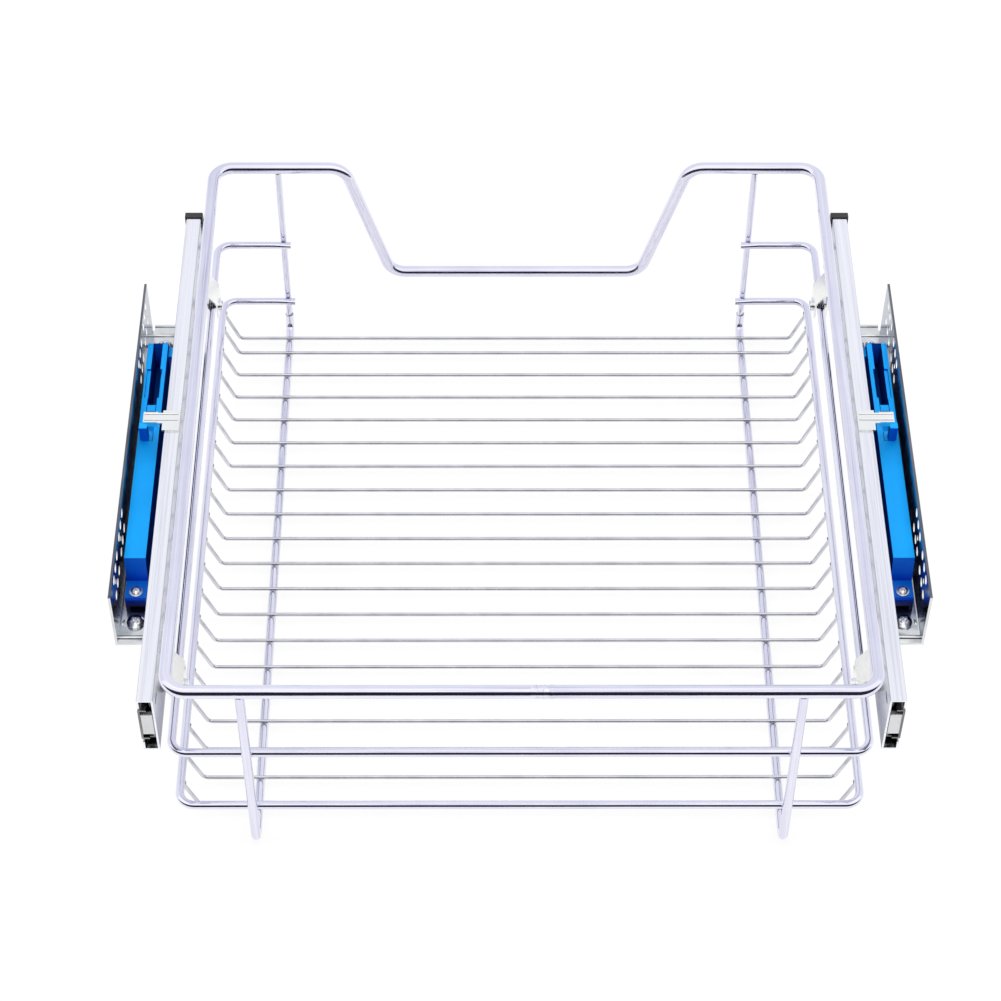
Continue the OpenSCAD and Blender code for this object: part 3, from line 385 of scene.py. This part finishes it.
def bracket_sheet():
    """Zinc plated pressed steel: bright on its flange, with a painted blue-grey reflection of the damper and
    painted shade darkening its upright plate.
    """
    m = Nodes("bracket_sheet")
    clouds = m.noise(90.0, 4.0)
    # Painted reflection and shade: the faces that look along X, the upright plate, are darkened to a blue
    # grey
    tone = m.ramp(m.facing("X"), [(TURN[0], WHITE), (TURN[1], (0.44, 0.47, 0.58))])
    m.colour(m.multiply(tone, m.tones(clouds, (0.64, 0.66, 0.65), (0.80, 0.82, 0.81))))
    m.rough(m.span(clouds, 0.12, 0.22))
    m.normal(m.bump(clouds, 0.02 * MM))
    return m.mat


def weld_chrome():
    """Chrome over a weld bead: rougher and darker than the wire."""
    m = Nodes("weld_chrome")
    patches = m.noise(500.0, 4.0)
    m.colour(m.tones(patches, (0.16, 0.16, 0.20), (0.54, 0.54, 0.62)))
    m.rough(m.span(patches, 0.18, 0.4))
    m.normal(m.bump(patches, 0.12 * MM))
    return m.mat


def damper_blue():
    """Glossy blue moulding: clear blue on its top, with painted shade making it deeper blue lower down, on
    its ends and on its sides.
    """
    low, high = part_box("left_damper_housing")
    m = Nodes("damper_blue", metallic=0.0)
    m.shader.inputs["IOR"].default_value = 1.5
    m.shader.inputs["Specular IOR Level"].default_value = 0.12
    # Painted shade: deeper blue lower down, much darker on the sides that look along X, and darker on the
    # ends that look along Y
    level = m.ramp(m.height(low.z, high.z), BLUE_SHADE_LEVELS)
    side = m.ramp(m.facing("X"), [(TURN[0], WHITE), (TURN[1], (0.10, 0.14, 0.22))])
    end = m.ramp(m.facing("Y"), [(0.1, WHITE), (0.4, (0.2, 0.44, 1.0))])
    clouds = m.noise(40.0, 4.0)
    drift = m.tones(clouds, (0.93, 0.93, 0.95), WHITE)
    m.colour(m.multiply(m.multiply(m.multiply(level, side), end), drift))
    m.rough(m.span(clouds, 0.3, 0.42))
    m.normal(m.bump(m.noise(900.0, 3.0, rough=0.6), 0.012 * MM))
    return m.mat


def plastic(name, dark, light, rough, bump, gloss=0.5):
    """Moulded plastic: a fine skin, slightly uneven gloss and a faint tone drift."""
    m = Nodes(name, metallic=0.0)
    m.shader.inputs["IOR"].default_value = 1.5
    m.shader.inputs["Specular IOR Level"].default_value = gloss
    clouds = m.noise(30.0, 3.0)
    skin = m.noise(900.0, 3.0, rough=0.6)
    m.colour(m.tones(clouds, dark, light))
    m.rough(m.span(clouds, *rough))
    m.normal(m.bump(skin, bump))
    return m.mat


MATERIALS = {
    "chrome_wire": chrome_rod(),
    "thin_wire": thin_chrome(),
    "weld": weld_chrome(),
    "nickel_sheet": metal("nickel_sheet", (0.86, 0.87, 0.85), (0.95, 0.96, 0.94), (0.16, 0.26), 600.0),
    "slide_steel": slide_sheet(),
    "shaded_inner_steel": shaded_inner_steel(),
    "black_plastic": plastic("black_plastic", (0.012, 0.012, 0.013), (0.02, 0.02, 0.022), (0.35, 0.5),
                             0.02 * MM),
    "cage_steel": metal("cage_steel", (0.55, 0.53, 0.46), (0.68, 0.66, 0.58), (0.3, 0.4), 500.0),
    "ball_steel": metal("ball_steel", (0.8, 0.8, 0.82), (0.88, 0.88, 0.9), (0.04, 0.08), 300.0),
    "stop_metal": metal("stop_metal", (0.74, 0.75, 0.76), (0.84, 0.85, 0.86), (0.45, 0.6), 800.0),
    "bracket_steel": bracket_sheet(),
    "cut_steel": metal("cut_steel", (0.10, 0.11, 0.13), (0.2, 0.21, 0.23), (0.4, 0.5), 500.0),
    "punched_steel": plastic("punched_steel", (0.80, 0.81, 0.81), (0.92, 0.93, 0.93), (0.4, 0.6),
                             0.01 * MM),
    "screw_steel": metal("screw_steel", (0.80, 0.80, 0.82), (0.92, 0.92, 0.94), (0.12, 0.2), 700.0),
    "blue_plastic": damper_blue(),
    # The damper's sides, a darker copy of the damper's blue as painted shade, so matt that they don't mirror
    # the slide and the bracket close beside them
    "blue_side_shade": plastic("blue_side_shade", (0.002, 0.03, 0.24), (0.004, 0.04, 0.32), (0.6, 0.7), 0.01 * MM,
                         gloss=0.0),
    "damper_steel": metal("damper_steel", (0.45, 0.45, 0.47), (0.6, 0.6, 0.62), (0.25, 0.35), 400.0),
}


# ---------------------------------------------------------------- mesh tools
def smooth(mesh, angle=SHARP_ANGLE):
    """Smooth shading with every edge sharper than angle kept sharp."""
    for face in mesh.polygons:
        face.use_smooth = True
    mesh.set_sharp_from_angle(angle=math.radians(angle))


def piece(name, bm, body, slot, replaces=(), angle=SHARP_ANGLE, material=None):
    """Turns a bmesh into a finished piece that rides on a body."""
    mesh = bpy.data.meshes.new(name)
    bmesh.ops.recalc_face_normals(bm, faces=bm.faces)
    bm.to_mesh(mesh)
    bm.free()
    smooth(mesh, angle)
    mesh.materials.append(MATERIALS[material or slot])
    obj = bpy.data.objects.new(name, mesh)
    bpy.context.scene.collection.objects.link(obj)
    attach(obj, body)
    if replaces:
        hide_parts(*replaces)
    return obj


def bake(obj):
    """Applies the piece's modifiers."""
    depsgraph = bpy.context.evaluated_depsgraph_get()
    mesh = bpy.data.meshes.new_from_object(obj.evaluated_get(depsgraph))
    obj.modifiers.clear()
    obj.data = mesh


def refine(node, bevel, material=None):
    """A copy of a CAD node with rounded edges, which stands for it."""
    bm = bmesh.new()
    bm.from_mesh(NODES[node].data)
    bmesh.ops.remove_doubles(bm, verts=bm.verts, dist=MERGE)
    bmesh.ops.dissolve_limit(bm, angle_limit=math.radians(FLAT_ANGLE), verts=bm.verts, edges=bm.edges)
    obj = piece(node + "_skin", bm, BODY_OF[node], SLOT_OF[node], [node], material=material)
    mod = obj.modifiers.new("edges", "BEVEL")
    mod.width = bevel
    mod.segments = 2
    mod.limit_method = "ANGLE"
    mod.angle_limit = math.radians(SHARP_ANGLE)
    mod.harden_normals = True
    mod.use_clamp_overlap = True
    bake(obj)
    return obj


def rounded_path(points, radii, step):
    """A polyline with each inner corner turned into an arc, one ring every step degrees."""
    path = [Vector(points[0])]
    for i in range(1, len(points) - 1):
        corner = Vector(points[i])
        back = (Vector(points[i - 1]) - corner).normalized()
        ahead = (Vector(points[i + 1]) - corner).normalized()
        half = back.angle(ahead) / 2
        radius = radii[i - 1]
        centre = corner + (back + ahead).normalized() * (radius / math.sin(half))
        start = corner + back * (radius / math.tan(half)) - centre
        axis = ahead.cross(back).normalized()
        turn = math.pi - 2 * half
        count = max(2, round(math.degrees(turn) / step))
        for k in range(count + 1):
            path.append(centre + Matrix.Rotation(turn * k / count, 3, axis) @ start)
    path.append(Vector(points[-1]))
    return path


def split_long(path, longest):
    """Adds points so that no step of the path is longer than longest."""
    out = [path[0]]
    for a, b in zip(path, path[1:]):
        count = max(1, math.ceil((b - a).length / longest))
        out += [a.lerp(b, k / count) for k in range(1, count + 1)]
    return out


def tube(bm, path, diameter, sides, squash=None, closed=False):
    """Sweeps a round rod along a path. squash(i) gives a width and height factor for ring i."""
    count = len(path)
    rings = []
    place = bm.verts.layers.float_vector.get(ROD_PLACE) or bm.verts.layers.float_vector.new(ROD_PLACE)
    run = 0.0
    tangent = (path[1] - path[0]).normalized()
    side = tangent.orthogonal().normalized()
    if abs(tangent.z) < SQUARE:
        side = tangent.cross(Vector((0, 0, 1))).normalized()
    for i, point in enumerate(path):
        ahead = path[(i + 1) % count] if closed or i < count - 1 else point
        behind = path[i - 1] if closed or i > 0 else point
        new = (ahead - behind).normalized()
        side = (tangent.rotation_difference(new) @ side).normalized()
        tangent = new
        up = tangent.cross(side).normalized()
        wide, high = squash(i) if squash else (1.0, 1.0)
        run += (point - path[i - 1]).length if i else path[0].length
        ring = []
        for k in range(sides):
            a = 2 * math.pi * k / sides
            offset = side * math.cos(a) * wide + up * math.sin(a) * high
            vert = bm.verts.new(point + offset * (diameter / 2))
            vert[place] = (run, math.cos(a) * diameter / 2, math.sin(a) * diameter / 2)
            ring.append(vert)
        rings.append(ring)
    pairs = list(zip(rings, rings[1:]))
    if closed:
        pairs.append((rings[-1], rings[0]))
    for a, b in pairs:
        for k in range(sides):
            n = (k + 1) % sides
            bm.faces.new((a[k], a[n], b[n], b[k]))
    if not closed:
        bm.faces.new(rings[0])
        bm.faces.new(rings[-1])
    return rings


def blob(bm, at, size, seed):
    """A small uneven weld bead."""
    made = bmesh.ops.create_icosphere(bm, subdivisions=2, radius=1.0)["verts"]
    for vert in made:
        n = vert.co.normalized()
        swell = 1 + BEAD_ROUGH * noise.noise(n * BEAD_GRAIN + Vector((seed, seed * BEAD_SHIFT, 0)))
        vert.co = Vector((n.x * size[0], n.y * size[1], n.z * size[2])) * swell + at


# ---------------------------------------------------------------- the basket's wires
top_lo, top_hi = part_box("top_frame")
half_w = top_hi.x - FRAME_D / 2
rear_y = top_lo.y + FRAME_D / 2
front_y = top_hi.y - FRAME_D / 2
top_z = top_hi.z - FRAME_D / 2
dip_z = top_lo.z + FRAME_D / 2


def weld_tip(length, count, at_end=True):
    """A rod's start, and its end if wanted, pressed a little flat over this many rings."""
    def squash(i):
        near = min(i, count - 1 - i if at_end else count)
        press = max(0.0, 1 - near / length)
        return 1 + PRESS_WIDER * press, 1 - PRESS_FLATTER * press
    return squash


def make_top_frame():
    """The top rod with its dip, one closed loop, with the ground butt weld in the rear rail."""
    corners = [(SEAM_X, rear_y, top_z), (half_w, rear_y, top_z), (half_w, front_y, top_z),
               (DIP_TOP_HALF, front_y, top_z), (DIP_BOTTOM_HALF, front_y, dip_z),
               (-DIP_BOTTOM_HALF, front_y, dip_z), (-DIP_TOP_HALF, front_y, top_z),
               (-half_w, front_y, top_z), (-half_w, rear_y, top_z), (SEAM_X, rear_y, top_z)]
    radii = [FRAME_BEND_R] * 2 + [DIP_BEND_R] * 4 + [FRAME_BEND_R] * 2
    path = split_long(rounded_path(corners, radii, BEND_STEP), FRAME_STEP)[:-1]
    bm = bmesh.new()
    tube(bm, path, FRAME_D, FRAME_SIDES, closed=True)
    piece("top_frame_rod", bm, BASKET, CHROME, ["top_frame"])
    bm = bmesh.new()
    seam = [Vector((SEAM_X + place * MM, rear_y, top_z)) for place, _ in SEAM_RINGS]
    rings = tube(bm, seam, FRAME_D, FRAME_SIDES, lambda i: (SEAM_RINGS[i][1], SEAM_RINGS[i][1]))
    for ring in rings:
        for vert in ring:
            vert.co += SEAM_ROUGH * noise.noise(vert.co * SEAM_GRAIN)
    piece("top_frame_seam", bm, BASKET, CHROME)


def make_ring(node):
    """A ring that is open at the front, its ends pressed flat where they are welded."""
    lo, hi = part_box(node)
    d = hi.z - lo.z
    z = (lo.z + hi.z) / 2
    x = hi.x - d / 2
    rear, front = lo.y + d / 2, hi.y - d / 2
    corners = [(-RING_OPEN_HALF, front, z), (-x, front, z), (-x, rear, z), (x, rear, z), (x, front, z),
               (RING_OPEN_HALF, front, z)]
    path = split_long(rounded_path(corners, [RING_BEND_R] * 4, BEND_STEP), RING_STEP)
    bm = bmesh.new()
    tube(bm, path, d, RING_SIDES, weld_tip(RING_TIP, len(path)))
    piece(node + "_rod", bm, BASKET, CHROME, [node])
    return Ring(x, rear, front, z, d)


def make_floor_wires(ring):
    """The thin floor wires, each bent up at both ends to the bottom ring, where the CAD node has them."""
    lo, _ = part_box("floor_wires")
    z = lo.z + FLOOR_WIRE_D / 2
    ys = sorted(v.co.y for v in NODES["floor_wires"].data.vertices)
    groups = [[ys[0]]]
    for y in ys[1:]:
        if y - groups[-1][-1] > FLOOR_WIRE_D:
            groups.append([])
        groups[-1].append(y)
    rise = Vector((ring.half_w - FLOOR_HALF, 0, ring.z - z)).normalized()
    end = Vector((ring.half_w, 0, ring.z)) - rise * (ring.d / 2 - WELD_SINK)
    bm = bmesh.new()
    places = [(g[0] + g[-1]) / 2 for g in groups]
    for y in places:
        points = [(-end.x, y, end.z), (-FLOOR_HALF, y, z), (FLOOR_HALF, y, z), (end.x, y, end.z)]
        tube(bm, rounded_path(points, [FLOOR_BEND_R] * 2, FLOOR_BEND_STEP), FLOOR_WIRE_D, FLOOR_SIDES)
    piece("floor_wire_set", bm, BASKET, CHROME, ["floor_wires"], material="thin_wire")
    bm = bmesh.new()
    for i, y in enumerate(places):
        for side in (-1, 1):
            at = Vector((side * (end.x - FLOOR_BEAD_IN), y, end.z + FLOOR_BEAD_UP))
            blob(bm, at, FLOOR_END_BEAD, i + side)
    piece("floor_wire_welds", bm, BASKET, CHROME, angle=BEAD_SHARP_ANGLE, material="weld")
    return places, z


def make_runner(node):
    """A floor runner, bent up at both ends."""
    lo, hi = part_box(node)
    d = hi.x - lo.x
    x = (lo.x + hi.x) / 2
    z = lo.z + d / 2
    rise_z = RUNNER_RISE + lo.z - d / 2 + RUNNER_END_REACH
    corners = [(x, rear_y, hi.z), (x, rear_y, z), (x, front_y, z), (x, front_y, rise_z)]
    path = split_long(rounded_path(corners, [RUNNER_BEND_R] * 2, BEND_STEP), RUNNER_STEP)
    bm = bmesh.new()
    tube(bm, path, d, RING_SIDES, weld_tip(RUNNER_TIP, len(path), at_end=False))
    piece(node + "_rod", bm, BASKET, CHROME, [node])
    return x


def make_upright(node):
    """A front upright between the runner's rise and the top rail."""
    lo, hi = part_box(node)
    d = hi.x - lo.x
    x, y = (lo.x + hi.x) / 2, (lo.y + hi.y) / 2
    path = split_long([Vector((x, y, lo.z)), Vector((x, y, hi.z))], UPRIGHT_STEP)
    bm = bmesh.new()
    tube(bm, path, d, UPRIGHT_SIDES, weld_tip(UPRIGHT_TIP, len(path)))
    piece(node + "_rod", bm, BASKET, CHROME, [node])
    return Vector((x, y, lo.z))


def make_welds(rings, runner_xs, upright_feet, floor_places, floor_z):
    """Small beads wherever one wire is welded to another."""
    bm = bmesh.new()
    seed = 1.0
    for x in runner_xs:
        blob(bm, Vector((x, rear_y, top_z - FRAME_D / 2)), RUNNER_TOP_BEAD, seed)
        for ring in rings:
            seed += 1
            blob(bm, Vector((x, ring.rear - ring.d / 2, ring.z)), RUNNER_RING_BEAD, seed)
        for y in floor_places:
            seed += 1
            blob(bm, Vector((x, y, floor_z - FLOOR_WIRE_D / 2)), RUNNER_FLOOR_BEAD, seed)
    for foot in upright_feet:
        seed += 1
        blob(bm, Vector((foot.x, foot.y, top_z - FRAME_D / 2)), UPRIGHT_TOP_BEAD, seed)
        blob(bm, foot, UPRIGHT_FOOT_BEAD, seed)
        for ring in rings:
            seed += 1
            blob(bm, Vector((foot.x, ring.front + ring.d / 2, ring.z)), UPRIGHT_RING_BEAD, seed)
    piece("wire_welds", bm, BASKET, CHROME, angle=BEAD_SHARP_ANGLE, material="weld")


def make_wires():
    """All the rods and wires of the basket, with their welds."""
    make_top_frame()
    rings = [make_ring("middle_ring"), make_ring("bottom_ring")]
    places, floor_z = make_floor_wires(rings[1])
    runner_xs = [make_runner(f"{s}_floor_runner") for s in ("left", "right")]
    upright_feet = [make_upright(f"{s}_front_upright") for s in ("left", "right")]
    make_welds(rings, runner_xs, upright_feet, places, floor_z)


# ---------------------------------------------------------------- pieces with rounded edges
def dress_plate(obj):
    """Gives a bracket's punched holes bright walls, and its cut top edge a dark line."""
    places = [v.co for v in obj.data.vertices]
    outer = max(abs(co.x) for co in places)
    rear = min(co.y for co in places)
    low = min(co.z for co in places)
    high = max(co.z for co in places)
    obj.data.materials.append(MATERIALS["punched_steel"])
    obj.data.materials.append(MATERIALS["cut_steel"])
    for face in obj.data.polygons:
        at = face.center
        in_plate = outer - abs(at.x) < PLATE_T and at.z - low > 2 * PLATE_T
        if not in_plate or abs(face.normal.x) > SQUARE:
            continue
        if high - at.z < PLATE_RIM:
            face.material_index = 2
        elif high - at.z > PLATE_EDGE and at.y - rear > PLATE_EDGE:
            face.material_index = 1


def dress_sides(obj, material):
    """Gives the faces that look along X another material."""
    obj.data.materials.append(MATERIALS[material])
    for face in obj.data.polygons:
        if abs(face.normal.x) > SQUARE:
            face.material_index = 1


def make_skins():
    """The sheet and moulded pieces, as the CAD nodes with rounded edges."""
    for side in ("left", "right"):
        for part in ("drawer_member", "slide_feet", "rear_clip", "front_clip", "closing_tab"):
            refine(f"{side}_{part}", SHEET_BEVEL)
        # The inner members, with painted shade on their edges
        for part in ("intermediate_member", "cabinet_member"):
            refine(f"{side}_{part}", SHEET_BEVEL, "shaded_inner_steel")
        dress_plate(refine(f"{side}_bracket", PLATE_BEVEL))
        dress_sides(refine(f"{side}_damper_housing", MOULDED_BEVEL), "blue_side_shade")
        for part in ("catch", "end_cap", "rear_stop"):
            refine(f"{side}_{part}", MOULDED_BEVEL)
    for node in ("clip_rivets", "clip_screws", "bracket_screws", "damper_screws", "damper_washers",
                 "foot_rivets", "clip_nuts", "bracket_nuts"):
        refine(node, FASTENER_BEVEL)
    for name, node in NODES.items():
        if not node.hide_render:
            node.data.materials.clear()
            node.data.materials.append(MATERIALS[SLOT_OF[name]])
            smooth(node.data)


# ---------------------------------------------------------------- stage, lights, camera
def stage_mesh(name, verts, faces, mat):
    """A piece of the studio, which isn't part of the object."""
    mesh = bpy.data.meshes.new(name)
    mesh.from_pydata(verts, [], faces)
    mesh.materials.append(mat)
    obj = bpy.data.objects.new(name, mesh)
    bpy.context.scene.collection.objects.link(obj)
    return obj


def seen(tree):
    """1 for camera, glossy and transmission rays, and 0 for the rest."""
    path = tree.nodes.new("ShaderNodeLightPath")
    total = path.outputs["Is Camera Ray"]
    for name in ("Is Glossy Ray", "Is Transmission Ray"):
        add = tree.nodes.new("ShaderNodeMath")
        add.operation = "MAXIMUM"
        tree.links.new(total, add.inputs[0])
        tree.links.new(path.outputs[name], add.inputs[1])
        total = add.outputs[0]
    return total


def make_floor():
    """A white floor that keeps a faint shadow."""
    mat = bpy.data.materials.new("floor_white")
    mat.use_nodes = True
    tree = mat.node_tree
    tree.nodes.clear()
    out = tree.nodes.new("ShaderNodeOutputMaterial")
    diffuse = tree.nodes.new("ShaderNodeBsdfDiffuse")
    diffuse.inputs["Color"].default_value = FLOOR_COLOUR
    glow = tree.nodes.new("ShaderNodeEmission")
    glow.inputs["Color"].default_value = (1, 1, 1, 1)
    mix = tree.nodes.new("ShaderNodeMixShader")
    share = tree.nodes.new("ShaderNodeMath")
    share.operation = "MULTIPLY"
    share.inputs[1].default_value = FLOOR_WHITE_SHARE
    tree.links.new(seen(tree), share.inputs[0])
    tree.links.new(share.outputs[0], mix.inputs["Fac"])
    tree.links.new(diffuse.outputs[0], mix.inputs[1])
    tree.links.new(glow.outputs[0], mix.inputs[2])
    tree.links.new(mix.outputs[0], out.inputs["Surface"])
    size = STAGE_HALF
    stage_mesh("floor", [(-size, -size, 0), (size, -size, 0), (size, size, 0), (-size, size, 0)],
               [(0, 1, 2, 3)], mat)


def make_world():
    """White where it is seen, and a plain soft light on the object."""
    world = bpy.data.worlds.new("studio")
    world.use_nodes = True
    bpy.context.scene.world = world
    tree = world.node_tree
    back = tree.nodes["Background"]
    back.inputs["Color"].default_value = (1, 1, 1, 1)
    level = tree.nodes.new("ShaderNodeMapRange")
    level.inputs["To Min"].default_value = WORLD_LIGHT
    level.inputs["To Max"].default_value = WORLD_SEEN
    tree.links.new(seen(tree), level.inputs["Value"])
    tree.links.new(level.outputs["Result"], back.inputs["Strength"])


def glossy_only(obj):
    """Makes a stage piece that only reflections see."""
    obj.visible_camera = False
    obj.visible_diffuse = False
    obj.visible_shadow = False
    obj.visible_transmission = False


def glow_material(name):
    """A material that only glows."""
    mat = bpy.data.materials.new(name)
    mat.use_nodes = True
    tree = mat.node_tree
    tree.nodes.clear()
    out = tree.nodes.new("ShaderNodeOutputMaterial")
    glow = tree.nodes.new("ShaderNodeEmission")
    tree.links.new(glow.outputs[0], out.inputs["Surface"])
    return mat, tree, glow


def make_dome():
    """The studio that polished metal sees: dark behind the camera, white above, pale grey beyond."""
    mat, tree, glow = glow_material("studio_dome")
    place = tree.nodes.new("ShaderNodeNewGeometry")
    split = tree.nodes.new("ShaderNodeSeparateXYZ")
    back = tree.nodes.new("ShaderNodeMath")
    back.operation = "MULTIPLY"
    back.inputs[1].default_value = -1.0
    height = tree.nodes.new("ShaderNodeMath")
    height.operation = "ARCTAN2"
    ranged = tree.nodes.new("ShaderNodeMapRange")
    ranged.inputs["From Max"].default_value = math.pi
    ramp = tree.nodes.new("ShaderNodeValToRGB")
    set_stops(ramp, [(degrees / 180, colour) for degrees, colour in DOME_BANDS])
    tree.links.new(place.outputs["Position"], split.inputs[0])
    tree.links.new(split.outputs["Y"], back.inputs[0])
    tree.links.new(split.outputs["Z"], height.inputs[0])
    tree.links.new(back.outputs[0], height.inputs[1])
    tree.links.new(height.outputs[0], ranged.inputs["Value"])
    tree.links.new(ranged.outputs["Result"], ramp.inputs["Fac"])
    tree.links.new(ramp.outputs["Color"], glow.inputs["Color"])
    glow.inputs["Strength"].default_value = DOME_LEVEL
    bm = bmesh.new()
    around, upward = DOME_SEGMENTS
    bmesh.ops.create_uvsphere(bm, u_segments=around, v_segments=upward, radius=DOME_RADIUS)
    low = [v for v in bm.verts if v.co.z < DOME_FOOT]
    bmesh.ops.delete(bm, geom=low, context="VERTS")
    verts = [v.co.copy() for v in bm.verts]
    bm.verts.index_update()
    faces = [[v.index for v in f.verts] for f in bm.faces]
    bm.free()
    glossy_only(stage_mesh("dome", verts, faces, mat))


def make_dark_floor():
    """The dark far end of the table, towards the camera, that only polished metal sees."""
    mat, _, glow = glow_material("table_dark")
    glow.inputs["Color"].default_value = (*DARK, 1)
    near, far, half = -DARK_FLOOR_START, -DOME_RADIUS, DOME_RADIUS
    corners = [(-half, far), (half, far), (half, near), (-half, near)]
    glossy_only(stage_mesh("dark_floor", [(x, y, DARK_FLOOR_RISE) for x, y in corners],
                           [(0, 1, 2, 3)], mat))


def make_lamps():
    """The soft lamps, which polished metal doesn't see."""
    for name, at, aim, size, watts in LAMPS:
        light = bpy.data.lights.new(name, "AREA")
        light.shape = "RECTANGLE"
        light.size, light.size_y = size
        light.energy = watts
        obj = bpy.data.objects.new(name, light)
        obj.location = at
        obj.rotation_euler = (Vector(aim) - Vector(at)).to_track_quat("-Z", "Y").to_euler()
        obj.visible_glossy = False
        bpy.context.scene.collection.objects.link(obj)


def make_camera():
    """The photograph's camera."""
    turn = Matrix.Rotation(CAMERA_YAW, 3, "Z")
    ahead = turn @ Vector((0, math.cos(CAMERA_PITCH), -math.sin(CAMERA_PITCH)))
    right = turn @ Vector((1, 0, 0))
    down = ahead.cross(right)
    c, s = math.cos(CAMERA_ROLL), math.sin(CAMERA_ROLL)
    right, down = c * right + s * down, c * down - s * right
    data = bpy.data.cameras.new("camera")
    data.sensor_width = SENSOR
    data.lens = SENSOR * FOCAL_PX / PHOTO_PX
    data.clip_start, data.clip_end = CLIP_NEAR, CLIP_FAR
    cam = bpy.data.objects.new("camera", data)
    axes = Matrix((right, -down, -ahead)).transposed().to_4x4()
    cam.matrix_world = Matrix.Translation(CAMERA_AT) @ axes
    bpy.context.scene.collection.objects.link(cam)
    bpy.context.scene.camera = cam


make_camera()
make_wires()
make_skins()
make_floor()
make_world()
make_dome()
make_dark_floor()
make_lamps()
bpy.context.scene.view_settings.view_transform = "Standard"
